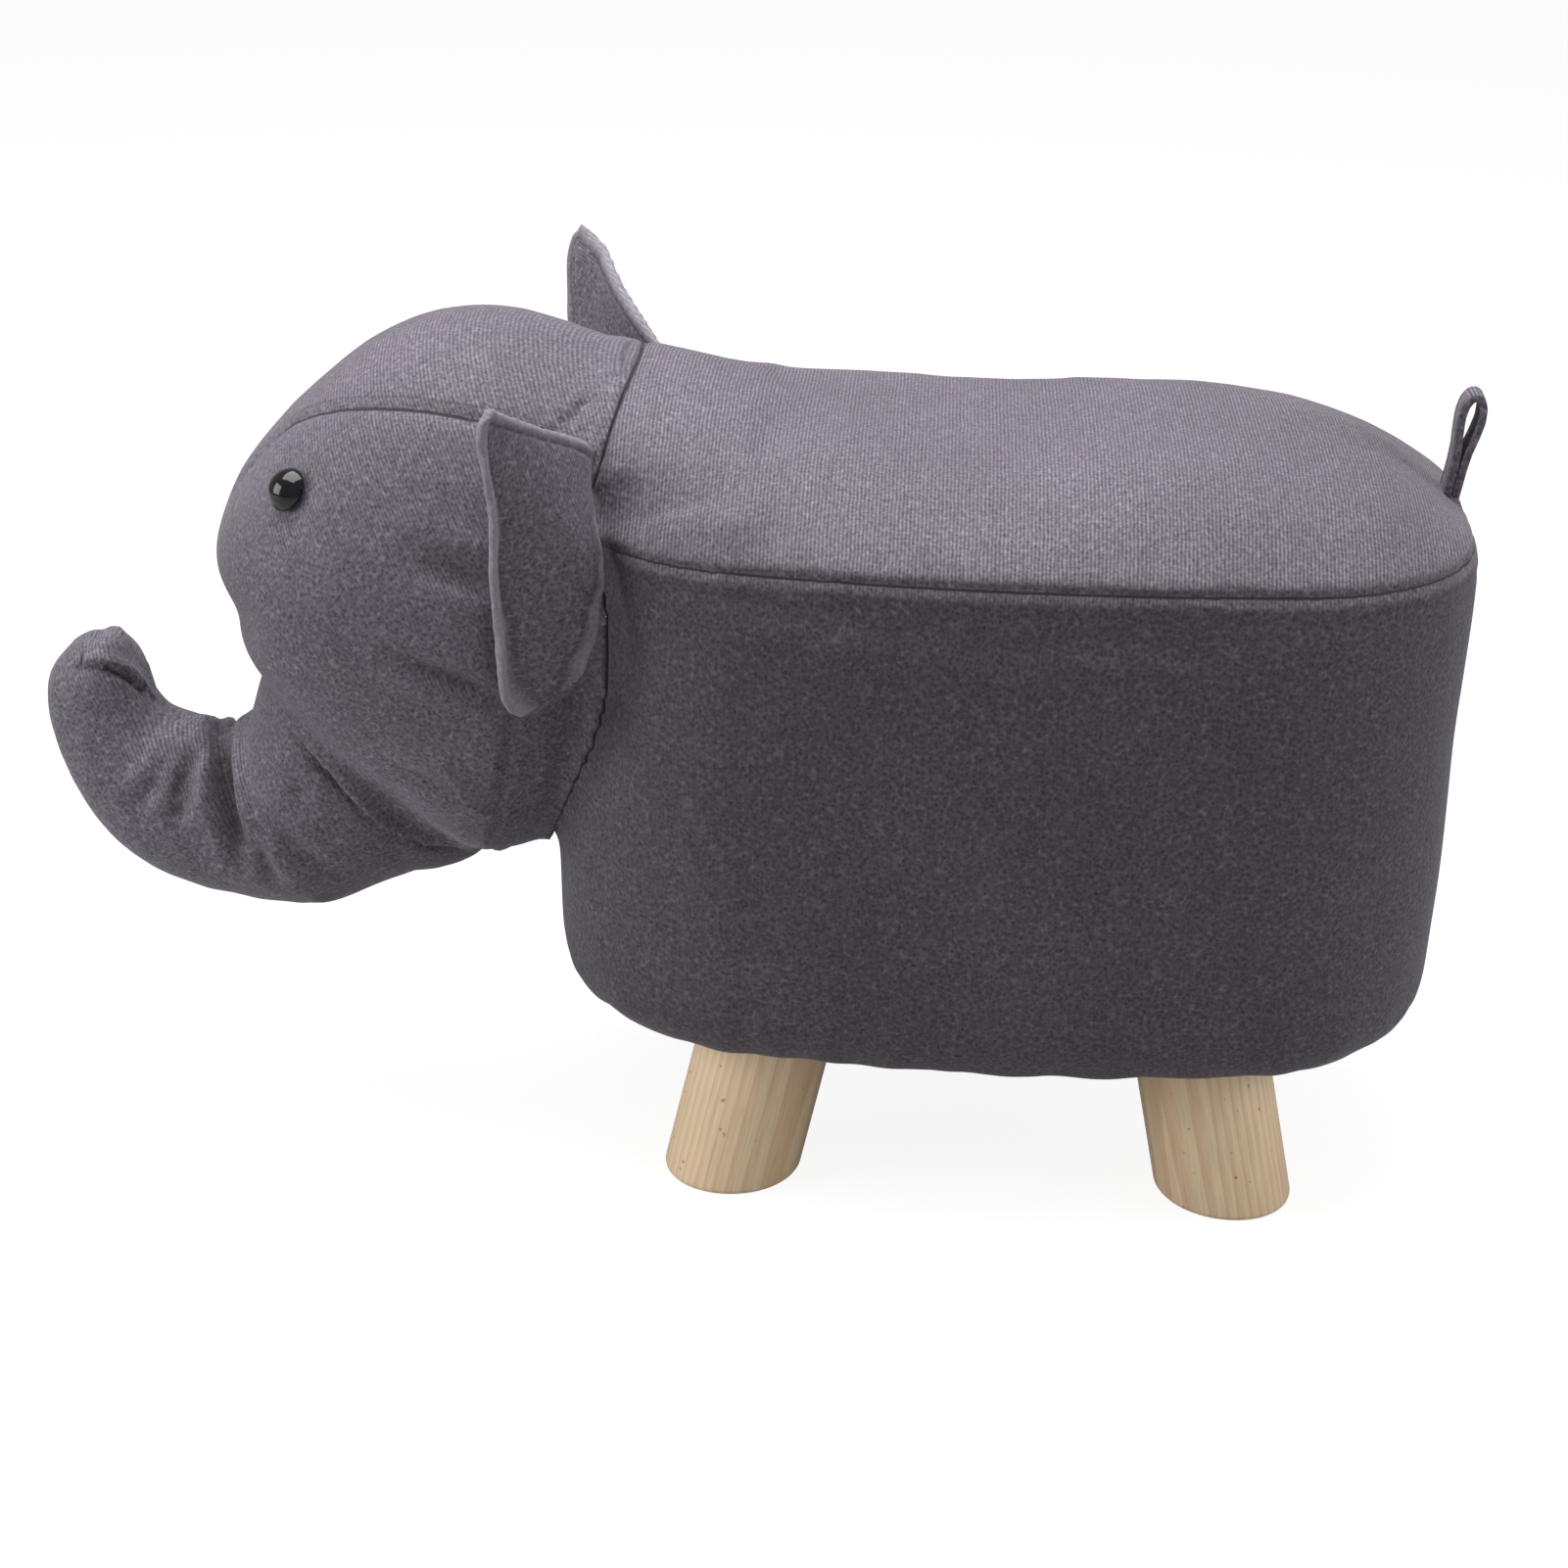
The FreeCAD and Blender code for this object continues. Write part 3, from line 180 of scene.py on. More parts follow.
def addRoom():
    for name, lamp in lamps.items():
        addLamp(name, **lamp)
    world = bpy.data.worlds.new("studio")
    bpy.context.scene.world = world
    world.use_nodes = True
    tree = world.node_tree
    tree.nodes.clear()
    seen = seenByCamera(tree)
    dim = addNode(tree, "ShaderNodeBackground", {"Color": linear("#FFFFFF"), "Strength": room["fill"]})
    white = addNode(tree, "ShaderNodeBackground", {"Color": linear("#FFFFFF"), "Strength": room["white"]})
    mixed = addNode(tree, "ShaderNodeMixShader", {0: seen, 1: dim.outputs[0], 2: white.outputs[0]})
    addNode(tree, "ShaderNodeOutputWorld", {"Surface": mixed.outputs[0]})

    bpy.ops.mesh.primitive_plane_add(size=room["floorSize"], location=(0, 0, 0))
    floor = bpy.context.object
    floor.name = "floor"
    material, tree, shader, where = startMaterial("matt paper sweep")
    shader.inputs["Base Color"].default_value = linear(room["floorGrey"])
    shader.inputs["Roughness"].default_value = 0.9
    addBump(tree, shader, grainNoise(tree, where.outputs["Object"], 40.0, 2.0), 0.02, 0.001)
    pale = addNode(tree, "ShaderNodeBsdfDiffuse", {"Color": linear("#FFFFFF")})
    glow = addNode(tree, "ShaderNodeEmission", {"Color": linear("#FFFFFF"), "Strength": room["floorGlow"]})
    sheet = addNode(tree, "ShaderNodeMixShader", {0: room["floorWhiteShare"], 1: pale.outputs[0], 2: glow.outputs[0]})
    mixed = addNode(tree, "ShaderNodeMixShader",
                    {0: seenByCamera(tree), 1: shader.outputs[0], 2: sheet.outputs[0]})
    output = next(node for node in tree.nodes if node.type == "OUTPUT_MATERIAL")
    tree.links.new(mixed.outputs[0], output.inputs["Surface"])
    useMaterial(floor, material)


addRoom()
bpy.context.scene.view_settings.view_transform = "Standard"
print("stage: camera, lamps and floor")


# mesh helpers
def pickOnly(*pieces):
    if bpy.context.object and bpy.context.object.mode != "OBJECT":
        bpy.ops.object.mode_set(mode="OBJECT")
    bpy.ops.object.select_all(action="DESELECT")
    for piece in pieces:
        piece.select_set(True)
    bpy.context.view_layer.objects.active = pieces[0]


def readPoints(piece, field="co"):
    points = np.empty(len(piece.data.vertices) * 3)
    piece.data.vertices.foreach_get(field, points)
    return points.reshape(-1, 3)


def writePoints(piece, points):
    piece.data.vertices.foreach_set("co", np.ascontiguousarray(points).ravel())
    piece.data.update()


def setValues(piece, name, values):
    layer = piece.data.attributes.get(name) or piece.data.attributes.new(name, "FLOAT", "POINT")
    layer.data.foreach_set("value", np.ascontiguousarray(values, dtype=np.float32))


def getValues(piece, name):
    values = np.empty(len(piece.data.vertices), dtype=np.float32)
    piece.data.attributes[name].data.foreach_get("value", values)
    return values


def smoothStep(low, high, values):
    share = np.clip((values - low) / (high - low), 0, 1)
    return share * share * (3 - 2 * share)


def applyModifier(piece, kind, **settings):
    pickOnly(piece)
    bpy.ops.object.modifier_add(type=kind)
    modifier = piece.modifiers[-1]
    for key, value in settings.items():
        setattr(modifier, key, value)
    bpy.ops.object.modifier_apply(modifier=modifier.name)


def copyNodes(name, nodeNames, hull=False):
    # one new piece from copies of CAD nodes, their loose triangles merged
    copies = []
    for nodeName in nodeNames:
        copy = bpy.data.objects.new(name, nodes[nodeName].data.copy())
        bpy.context.collection.objects.link(copy)
        copies.append(copy)
    pickOnly(*copies)
    if len(copies) > 1:
        bpy.ops.object.join()
    piece = bpy.context.object
    piece.name = name
    piece.data.materials.clear()
    bpy.ops.object.mode_set(mode="EDIT")
    bpy.ops.mesh.select_all(action="SELECT")
    bpy.ops.mesh.remove_doubles(threshold=0.00001)
    if hull:
        bpy.ops.mesh.convex_hull()
    bpy.ops.object.mode_set(mode="OBJECT")
    return piece


def remeshAndSmooth(piece, voxel, rounds):
    applyModifier(piece, "REMESH", mode="VOXEL", voxel_size=voxel)
    applyModifier(piece, "SMOOTH", factor=0.5, iterations=rounds)


def inflate(piece, pressure, cap, start, frames=20):
    # cloth under pressure, from a slightly smaller shape; no point moves further than the cap
    rest = readPoints(piece)
    writePoints(piece, rest - readPoints(piece, "normal") * start)
    pickOnly(piece)
    bpy.ops.object.modifier_add(type="CLOTH")
    cloth = piece.modifiers[-1]
    cloth.settings.quality = 4
    cloth.settings.use_pressure = True
    cloth.settings.uniform_pressure_force = pressure
    cloth.settings.effector_weights.gravity = 0
    cloth.point_cache.frame_start = 1
    cloth.point_cache.frame_end = frames
    for number in range(1, frames + 1):
        bpy.context.scene.frame_set(number)
    bpy.ops.object.modifier_apply(modifier=cloth.name)
    bpy.context.scene.frame_set(1)
    shift = readPoints(piece) - rest
    length = np.linalg.norm(shift, axis=1, keepdims=True)
    writePoints(piece, rest + shift * np.minimum(1, cap / np.maximum(length, 1e-9)))


def treeOf(nodeNames):
    points, faces = [], []
    for nodeName in nodeNames:
        mesh = nodes[nodeName].data
        first = len(points)
        points += [vertex.co.copy() for vertex in mesh.vertices]
        faces += [[first + index for index in polygon.vertices] for polygon in mesh.polygons]
    return BVHTree.FromPolygons(points, faces)


def seamDistances(points, groups, pairs, reach):
    # for each pair of CAD groups, how far each point lies from their common seam, with a sign for the side
    trees = {name: treeOf(members) for name, members in groups.items()}
    whole = treeOf([member for members in groups.values() for member in members])
    gaps = {name: np.full(len(points), reach) for name in groups}
    for number, point in enumerate(points):
        foot = whole.find_nearest(Vector(point))[0]
        for name, tree in trees.items():
            found = tree.find_nearest(foot, reach)[3]
            if found is not None:
                gaps[name][number] = found
    near = {}
    for name, (first, second) in pairs.items():
        one = np.min([gaps[member] for member in first], axis=0)
        two = np.min([gaps[member] for member in second], axis=0)
        near[name] = two - one
        near[name][(one >= reach) & (two >= reach)] = reach
    return near


def lineDistance(points, line):
    # distance to a drawn line, the share of the way along it, and the vector from its nearest point
    line = [np.array(place(*corner)) for corner in line]
    lengths = [np.linalg.norm(b - a) for a, b in zip(line, line[1:])]
    total, passed = sum(lengths), 0
    best = np.full(len(points), 1e9)
    along = np.zeros(len(points))
    offset = np.zeros((len(points), 3))
    tangent = np.zeros((len(points), 3))
    for a, b, length in zip(line, line[1:], lengths):
        way = (b - a) / length
        share = np.clip((points - a) @ way, 0, length)
        away = points - (a + share[:, None] * way)
        distance = np.linalg.norm(away, axis=1)
        closer = distance < best
        best[closer] = distance[closer]
        along[closer] = ((passed + share) / total)[closer]
        offset[closer] = away[closer]
        tangent[closer] = way
        passed += length
    return best, along, offset, tangent


# velour: a short dense pile on a knitted back. The pile gives a matt face with bright flecks where it leans, the knit
# gives ribs about 1.5 mm apart, and along each sewn edge a thin dark line is painted as the shade in the seam's narrow
# gap.
velour = {"pile": "#6D6670", "deep": "#3C3741", "fleck": "#A39CA6", "seam": "#2A252C", "sheenTint": "#C9C2CE",
          "ribPitch": 1.5, "pileGrain": 1.3, "patchSize": 70, "bump": 0.0005, "roughness": 0.72, "sheen": 0.25,
          "tufts": (0.26, 0.56, 0.86), "nap": (0.9, 1.1), "creaseShade": 0.45, "seamShadeLine": (0.0004, 0.0012),
          "stitchLine": (0.0003, 0.0009), "stitchStep": 0.003, "stitchShare": 0.72, "stitchShade": 0.45,
          "rim": (0.0015, 0.0045), "rimShare": 0.45}


# upright faces get painted shade, by the side share given for each material
def velourMaterial(name, seams, stitches=(), ribTurn=0, pebbles=0.5, edge=None, sideShade=0.85, shadeAttribute=None):
    material, tree, shader, where = startMaterial(name)
    spot = addNode(tree, "ShaderNodeMapping", {"Vector": where.outputs["Object"],
                                               "Rotation": (0, math.radians(ribTurn), 0)}).outputs[0]
    normal = addNode(tree, "ShaderNodeSeparateXYZ", {0: where.outputs["Normal"]})
    endFace = rescale(tree, calc(tree, "ABSOLUTE", normal.outputs["X"]), (0.6, 0.8))

    def ribs(direction):
        # the wave has one rib per 0.314 divided by its scale
        return addNode(tree, "ShaderNodeTexWave",
                       {"Vector": spot, "Scale": 0.314 / (velour["ribPitch"] / 1000), "Distortion": 2.2,
                        "Detail": 2.0, "Detail Scale": 0.35}, bands_direction=direction).outputs["Fac"]

    # the knit's ribs show on the top, and the pile hides them on the upright faces
    flank = rescale(tree, normal.outputs["Z"], (0.1, 0.7), (0.95, pebbles))
    grain = addNode(tree, "ShaderNodeTexNoise", {"Vector": spot, "Scale": 1000 / velour["pileGrain"], "Detail": 2.5,
                                                 "Roughness": 0.6}).outputs[0]
    pebble = addNode(tree, "ShaderNodeTexVoronoi", {"Vector": spot, "Scale": 1000 / velour["pileGrain"] * 0.8,
                                                    "Randomness": 1.0}, feature="SMOOTH_F1")
    depth = mixHeights(tree, flank, mixHeights(tree, endFace, ribs("X"), ribs("Y")), pebble.outputs["Distance"])
    depth = mixHeights(tree, 0.5, depth, grain)
    patches = grainNoise(tree, where.outputs["Object"], 1000 / velour["patchSize"], 3.0)

    # colour: dark between the tufts, pale flecks where the pile leans, slow nap patches, and painted shade on upright
    # faces and in folds
    pile = addNode(tree, "ShaderNodeValToRGB", {0: depth})
    ramp = pile.color_ramp.elements
    ramp.new(velour["tufts"][2])
    for height, tone, stop in zip(velour["tufts"], ("deep", "pile", "fleck"), ramp):
        stop.position = height
        stop.color = linear(velour[tone])
    # painted shade: upright faces are made darker than the top, as the light from above falls on them less; the slow
    # nap patches vary the tone at random
    nap = calc(tree, "MULTIPLY", rescale(tree, patches, (0.3, 0.7), velour["nap"]),
               rescale(tree, normal.outputs["Z"], (0.0, 0.7), (sideShade, 1.0), "SMOOTHSTEP"))
    if shadeAttribute:
        # painted shade: folds and the hollow behind the ears are darkened, where shade falls in them
        paintedShade = addNode(tree, "ShaderNodeAttribute", attribute_name=shadeAttribute)
        nap = calc(tree, "MULTIPLY", nap, rescale(tree, paintedShade.outputs["Fac"], target=(1.0, velour["creaseShade"])))
    colour = addNode(tree, "ShaderNodeVectorMath", {0: pile.outputs[0], "Scale": nap}, operation="SCALE").outputs[0]

    # seams and stitches read the distances kept on the mesh; each seam gets a thin line of painted shade, where its
    # narrow gap would fall dark
    for attribute in seams:
        gap = addNode(tree, "ShaderNodeAttribute", attribute_name=attribute)
        line = rescale(tree, calc(tree, "ABSOLUTE", gap.outputs["Fac"]), velour["seamShadeLine"], steps="SMOOTHSTEP")
        colour = mixTones(tree, line, linear(velour["seam"]), colour)
        depth = calc(tree, "MULTIPLY", depth, line)
    for attribute, offset, run in stitches:
        gap = addNode(tree, "ShaderNodeAttribute", attribute_name=attribute)
        gap = calc(tree, "ABSOLUTE", calc(tree, "SUBTRACT", gap.outputs["Fac"], offset / 1000))
        near = rescale(tree, gap, velour["stitchLine"], steps="SMOOTHSTEP")
        # each stitch has a short gap after it
        along = addNode(tree, "ShaderNodeAttribute", attribute_name=run)
        step = calc(tree, "FRACT", calc(tree, "MULTIPLY", along.outputs["Fac"], 1 / velour["stitchStep"]))
        bare = calc(tree, "MAXIMUM", near, calc(tree, "GREATER_THAN", step, velour["stitchShare"]))
        faint = rescale(tree, bare, target=(velour["stitchShade"], 1.0))
        colour = mixTones(tree, faint, linear(velour["deep"]), colour)
        depth = calc(tree, "MULTIPLY", depth, faint)
    if edge:
        # the ear is paler along its sewn rim
        gap = addNode(tree, "ShaderNodeAttribute", attribute_name=edge)
        paler = rescale(tree, gap.outputs["Fac"], velour["rim"], (velour["rimShare"], 0.0))
        colour = mixTones(tree, paler, colour, linear(velour["fleck"]))
    tree.links.new(colour, shader.inputs["Base Color"])
    rough = rescale(tree, grain, (0.3, 0.8), (velour["roughness"] + 0.12, velour["roughness"] - 0.22))
    tree.links.new(rough, shader.inputs["Roughness"])
    shader.inputs["Sheen Weight"].default_value = velour["sheen"]
    shader.inputs["Sheen Roughness"].default_value = 0.4
    shader.inputs["Sheen Tint"].default_value = linear(velour["sheenTint"])
    shader.inputs["Specular IOR Level"].default_value = 0.4
    addBump(tree, shader, depth, 0.7, velour["bump"])
    return material


# plush cover: seat, head and trunk are drawn tight over one filling, then parted at the neck seam
plush = {"voxel": 5.0, "smoothRounds": 3, "pressure": 4, "cap": 1.0, "start": 0.8,
         "seamReach": 30, "seamDepth": 1.6, "seamWidth": 2.6, "pucker": 0.7, "puckerReach": 11,
         "eyeDent": 0.8, "hemFloor": 69.3}
# each seam's depth, width and pucker, as shares of the plush's own
seamForms = {"panelSeam": (1.0, 1.0, 1.0), "neckSeam": (1.3, 1.2, 0.6), "gussetSeam": (1.0, 1.0, 0.4),
             "tipSeam": (0.6, 0.7, 0.5), "middleSeam": (0.45, 0.9, 0.5)}
# the cloth's own give, in mm: the stitched line under the seat seam, ripples at the hem and on the top, how deep
# the folds are and from what depth their painted shade is full, the hollow behind the ears and its painted shade, the
# reach of the dent round an eye, and the waves of the noise
drape = {"lineDown": 10, "lineDepth": 0.5, "lineWidth": 2, "hem": (74, 115), "top": (290, 305), "ripple": 1.3,
         "give": 0.8, "foldGain": 1.8, "foldShadeDepth": 2.8, "hollowDepth": 4.5, "hollowShade": 0.75, "hollowBack": 6,
         "hollowWidth": 15, "hollowLow": (165, 215), "hollowHigh": (282, 294), "eye": (11, 22),
         "tuckWave": (95, (1, 1, 0.12)), "hemWave": (62, (1, 1, 0.25)), "topWave": (26, (1.0, 0.45, 1.0)),
         "giveWave": (17,)}
# how the stuffed head stands off its CAD oval: mm ahead of the neck, lift, share of the height and of the
# width, and the oval's own half height and half width there
headFit = np.array([(-26, 0, 1.0, 0.9, 97.5, 89), (0, 1.3, 1.01, 0.92, 100.7, 92), (32, 3.6, 1.02, 1.0, 106, 97),
                    (65.6, 5.5, 1.012, 1.0, 105, 96), (97.7, 8.3, 0.98, 0.995, 91.7, 89.7),
                    (125.7, 11.9, 0.927, 0.962, 69.4, 75.7), (147.3, 9.9, 0.915, 0.923, 42.4, 50.4),
                    (157.2, 5.8, 0.917, 0.92, 19, 24), (160.1, 5, 0.917, 0.92, 8, 10)])
headPlace = {"back": -174, "middle": 241, "neckAhead": -185, "neckLean": 17, "seam": 288.5, "seamBlend": (-4, 3),
             "shareFade": (1.12, 1.9), "neckBlend": (-2, 8), "rearPart": 40, "rearFade": (25, 50)}
# how far the top stands above or below the CAD crown, by the place along the seat, in mm
topFit = np.array([(-104, 0), (-94, -0.5), (-84, -1.5), (-67, -2.8), (-40, -3.6), (-27, -5), (-14, -5.6), (0, -5.2),
                   (13, -4.2), (26, -2.8), (52, -1.7), (78, -0.6), (118, 1.5), (145, 2), (175, 0)])
# the top runs straight from the neck to the seat between these places, at each place across it, in mm
bridge = {"neck": -166, "seat": -100, "blend": 8, "bin": 8, "bins": 14, "near": 4, "below": 2, "fade": (3, 14)}
# how far the underside of the head and trunk root hangs below the CAD's, by the place along the seat, in mm
jawFit = np.array([(-330, 0), (-300, 1.5), (-262, 2), (-250, 2.8), (-237, 8), (-224, 14), (-211, 16), (-199, 12),
                   (-186, 7.5), (-178, 0), (-172, -7), (-165, -8)])
# the heights between which that fades, how far the brow over the trunk stands back and between which places,
# how far the seat's rear and sides stand out, and how far its hem bulges down and from where, in mm
sagFit = {"jawFade": (150, 215), "browBack": 5, "browHeight": 222, "browReach": 14, "browRear": (-318, -295),
          "browFront": (-350, -335), "rear": 2.6, "rearFrom": (60, 187), "side": 1.2, "halfWidth": 124,
          "hemBulge": 2.2, "hemAside": 93, "hemAhead": 157, "hemBlend": 12, "hemFade": (70, 84), "neckBlend": (-2, 4)}
# how the trunk's end is drawn out, by the place along it
tipFit = {"low": 188, "high": 207, "from": -355, "peak": -382, "peakLift": 3.2, "peakWidth": 7, "shoulder": -402,
          "shoulderDrop": 1.5, "crown": 318}
# seams and the edge of the turned flap on the trunk's end
tipLine = [(-388, 14, 204), (-390.1, 5.7, 206.8), (-390.8, -8.4, 206.9), (-393.1, -12.5, 203.6), (-392.1, -16.2, 197.5)]
# each fold: points in mm from the middle of the seat, depth, width, and whether one lip stands over it
folds = [
    ([(-337.2, -0.8, 164.3), (-333.3, -16.8, 160.7), (-329.7, -30.8, 152.2), (-326.5, -38.9, 141.5),
      (-323.6, -42.0, 130.4), (-322.3, -40.8, 118.3)], 4.6, 4.2, False),
    ([(-343.2, -10.6, 163.9), (-345.2, -21.0, 158.6), (-348.5, -29.0, 150.4), (-354.2, -33.0, 141.3)], 2.8, 4.0, False),
    ([(-350.9, -12.1, 165.1), (-354.8, -22.8, 158.9), (-359.8, -29.7, 149.3), (-367.3, -31.5, 138.2)], 1.4, 3.6, False),
    ([(-342.1, -29.3, 150.0), (-347.0, -33.5, 141.9), (-350.5, -35.3, 132.9)], 1.8, 3.4, False),
    ([(-318.1, -43.9, 136.6), (-313.0, -45.2, 125.5), (-308.8, -41.6, 112.5)], 1.6, 4.5, False),
    ([(-305.0, -50.0, 140.1), (-294.6, -51.9, 129.6), (-282.1, -49.0, 119.2)], 1.3, 5.0, False),
    ([(-293.7, -54.0, 163.8), (-291.6, -56.1, 152.6)], 1.2, 4.0, False),
    ([(-293.5, -45.2, 185.7), (-287.7, -51.8, 179.6), (-281.3, -56.2, 173.7), (-271.6, -59.5, 164.3),
      (-262.5, -59.2, 152.4), (-255.7, -56.5, 144.2), (-248.9, -52.3, 138.6), (-239.0, -43.8, 132.4),
      (-229.2, -32.8, 129.4)], 2.8, 3.6, True),
    ([(-225.3, -81.4, 185.3), (-220.0, -75.5, 175.1), (-213.5, -69.1, 166.5), (-204.6, -66.0, 163.4),
      (-193.6, -64.8, 163.5)], 2.8, 3.6, True),
    ([(-245.3, -77.2, 183.5), (-234.3, -77.4, 180.1), (-223.6, -75.5, 175.4)], 1.6, 5.0, False),
    ([(-234.4, -41.5, 134.2), (-222.0, -40.0, 135.0)], 1.2, 2.6, True),
    ([(-243.6, -95.2, 239.0), (-230.2, -96.3, 234.3), (-214.3, -96.2, 229.1), (-200.2, -94.4, 222.4)], 1.8, 4.2, False),
    ([(-232.3, -91.7, 281.4), (-221.6, -93.6, 276.5), (-210.0, -94.4, 272.4), (-199.3, -94.3, 268.0)], 1.6, 6.0, False),
    ([(-392.1, -16.2, 197.5), (-381.5, -13.9, 197.6), (-374.9, -9.8, 192.0), (-370.7, -6.8, 185.3),
      (-366.5, -3.4, 177.9)], 1.8, 2.6, True),
]


# the gusset's seam on the left of the head, from the point above the trunk to the neck
gussetLine = [(-334, 0, 224), (-331, -9, 236), (-326, -15, 250), (-322.5, -18.5, 265), (-318.5, -20.5, 285.6),
              (-311.2, -20.8, 296.4), (-293.7, -27.4, 313.8), (-273.9, -44.5, 324.8), (-256.1, -55.0, 329.9),
              (-235.4, -61.6, 331.5), (-214.7, -65.0, 329.8), (-190, -64.5, 331), (-160, -61, 333)]


# a point lies on the gusset where it is further in, and by this share further up, than the seam beside it
gussetSide = {"upShare": 0.7, "length": 0.22}


def gussetGap(points):
    # signed distance to the seam, more than zero on the gusset, and the way along it in metres
    nearest, run = np.full(len(points), 1e9), np.zeros(len(points))
    for side in (-1, 1):
        line = [(x, -y * side, z) for x, y, z in gussetLine]
        distance, along, offset = lineDistance(points, line)[:3]
        within = offset[:, 1] * -side + gussetSide["upShare"] * offset[:, 2]
        closer = distance < np.abs(nearest)
        nearest = np.where(closer, np.where(within >= 0, distance, -distance), nearest)
        run = np.where(closer, along * gussetSide["length"], run)
    reach = plush["seamReach"] / 1000
    return np.clip(nearest, -reach, reach), run


# a fold's cut-off ends, its fade towards them, and its shoulder or lip, as shares of its depth and width
foldForm = {"ends": 0.04, "fade": 0.6, "shoulder": 0.4, "shoulderAt": 2.2, "lipHeight": 0.7, "lipAt": 0.4,
            "lipWidth": 0.6}


def foldMove(points, normals, fold, side):
    # how far each point moves along its normal for one fold, mirrored for the far side
    line, depth, width, lipped = fold
    if side > 0:
        line = [(x, -y, z) for x, y, z in line]
    distance, along, offset, tangent = lineDistance(points, line)
    depth, width = depth / 1000, width / 1000
    fade = np.sin(np.pi * np.clip(along, foldForm["ends"], 1 - foldForm["ends"])) ** foldForm["fade"]
    if not lipped:
        valley = np.exp(-(distance / width) ** 2)
        shoulder = foldForm["shoulder"] * np.exp(-((distance - foldForm["shoulderAt"] * width) / width) ** 2)
        return depth * fade * (shoulder - valley)
    across = np.einsum("ij,ij->i", np.cross(tangent, normals), offset)
    signed = np.where(across * -side > 0, distance, -distance)
    rise = foldForm["lipHeight"] * np.exp(-((signed + width) / width) ** 2)
    drop = np.exp(-((signed / width - foldForm["lipAt"]) / foldForm["lipWidth"]) ** 2)
    return depth * fade * np.where(signed < 0, rise, -drop)


def pieceNoise(points, scale, squash=(1, 1, 1)):
    return np.array([noise.noise(Vector((x * squash[0] * scale, y * squash[1] * scale, z * squash[2] * scale)))
                     for x, y, z in points])


def fadeIn(span, values):
    # from 0 to 1 over a span, in the values' own unit
    return smoothStep(span[0], span[1], values)


def inMillimetres(points):
    return (points[:, 0] - seatMiddle) * 1000, points[:, 1] * 1000, points[:, 2] * 1000


def headMove(points, neckGap):
    along, aside, high = inMillimetres(points)
    ahead, above = headPlace["back"] - along, high - headPlace["middle"]
    lift, tall, wide, halfHeight, halfWidth = (np.interp(ahead, headFit[:, 0], headFit[:, column])
                                               for column in range(1, 6))
    radius = np.hypot(aside / halfWidth, above / halfHeight)
    share = (1 - fadeIn(headPlace["shareFade"], radius)) * fadeIn(headPlace["neckBlend"], neckGap * 1000)
    low = np.where(ahead < headPlace["rearPart"], 1 - fadeIn(headPlace["rearFade"], above), 1)
    return np.stack([np.zeros(len(points)), share * (wide - 1) * low * aside, share * (lift + (tall - 1) * above)],
                    axis=1) / 1000


def eyeShift(name):
    low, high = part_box(name)
    return headMove(np.array([(low + high) / 2]), np.array([1.0]))[0]


def eyeMiddle(name):
    low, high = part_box(name)
    return np.array((low + high) / 2) + eyeShift(name)


def sagMove(points, neckGap):
    along, aside, high = inMillimetres(points)
    onHead = fadeIn(sagFit["neckBlend"], neckGap * 1000)
    jaw = onHead * np.interp(along, jawFit[:, 0], jawFit[:, 1]) * (1 - fadeIn(sagFit["jawFade"], high))
    brow = onHead * (1 - fadeIn(sagFit["browRear"], along)) * fadeIn(sagFit["browFront"], along)
    brow = brow * np.exp(-((high - sagFit["browHeight"]) / sagFit["browReach"]) ** 2)
    rim = np.maximum(smoothStep(0, sagFit["hemBlend"], np.abs(aside) - sagFit["hemAside"]),
                     smoothStep(0, sagFit["hemBlend"], np.abs(along) - sagFit["hemAhead"]))
    hem = (1 - onHead) * rim * (1 - fadeIn(sagFit["hemFade"], high))
    # the seat's foam presses its cover out at the rear and the sides
    rear = (1 - onHead) * fadeIn(sagFit["rearFrom"], along)
    side = (1 - onHead) * np.clip(aside / sagFit["halfWidth"], -1, 1)
    return np.stack([sagFit["browBack"] * brow + sagFit["rear"] * rear, sagFit["side"] * side,
                     -jaw - sagFit["hemBulge"] * hem], axis=1) / 1000


def bridgeMove(points):
    # lifts or lowers the top between the neck and the seat to a straight run, at each place across
    along, aside, high = inMillimetres(points)
    bins = np.arange(-bridge["bins"], bridge["bins"] + 1) * bridge["bin"]

    def heights(station):
        here = (np.abs(along - station) < bridge["near"]) & (high > headPlace["seam"] - bridge["below"])
        tops = [high[here & (np.abs(aside - middle) < bridge["bin"])].max(initial=0) for middle in bins]
        known = np.array(tops) > 0
        return np.interp(aside, bins[known], np.array(tops)[known])

    share = np.clip((along - bridge["neck"]) / (bridge["seat"] - bridge["neck"]), 0, 1)
    straight = heights(bridge["neck"]) * (1 - share) + heights(bridge["seat"]) * share
    weight = (smoothStep(bridge["neck"] - bridge["blend"], bridge["neck"] + bridge["blend"], along)
              * (1 - smoothStep(bridge["seat"] - bridge["blend"], bridge["seat"] + bridge["blend"], along))
              * fadeIn(bridge["fade"], high - headPlace["seam"]))
    return weight * (straight - high) / 1000


def topMove(points):
    along, aside, high = inMillimetres(points)
    lift = np.interp(along, topFit[:, 0], topFit[:, 1]) * smoothStep(headPlace["seam"], tipFit["crown"], high)
    tip = smoothStep(tipFit["low"], tipFit["high"], high) * (along < tipFit["from"])
    lift += tip * tipFit["peakLift"] * np.exp(-((along - tipFit["peak"]) / tipFit["peakWidth"]) ** 2)
    lift -= tip * tipFit["shoulderDrop"] * np.exp(-((along - tipFit["shoulder"]) / tipFit["peakWidth"]) ** 2)
    return lift / 1000


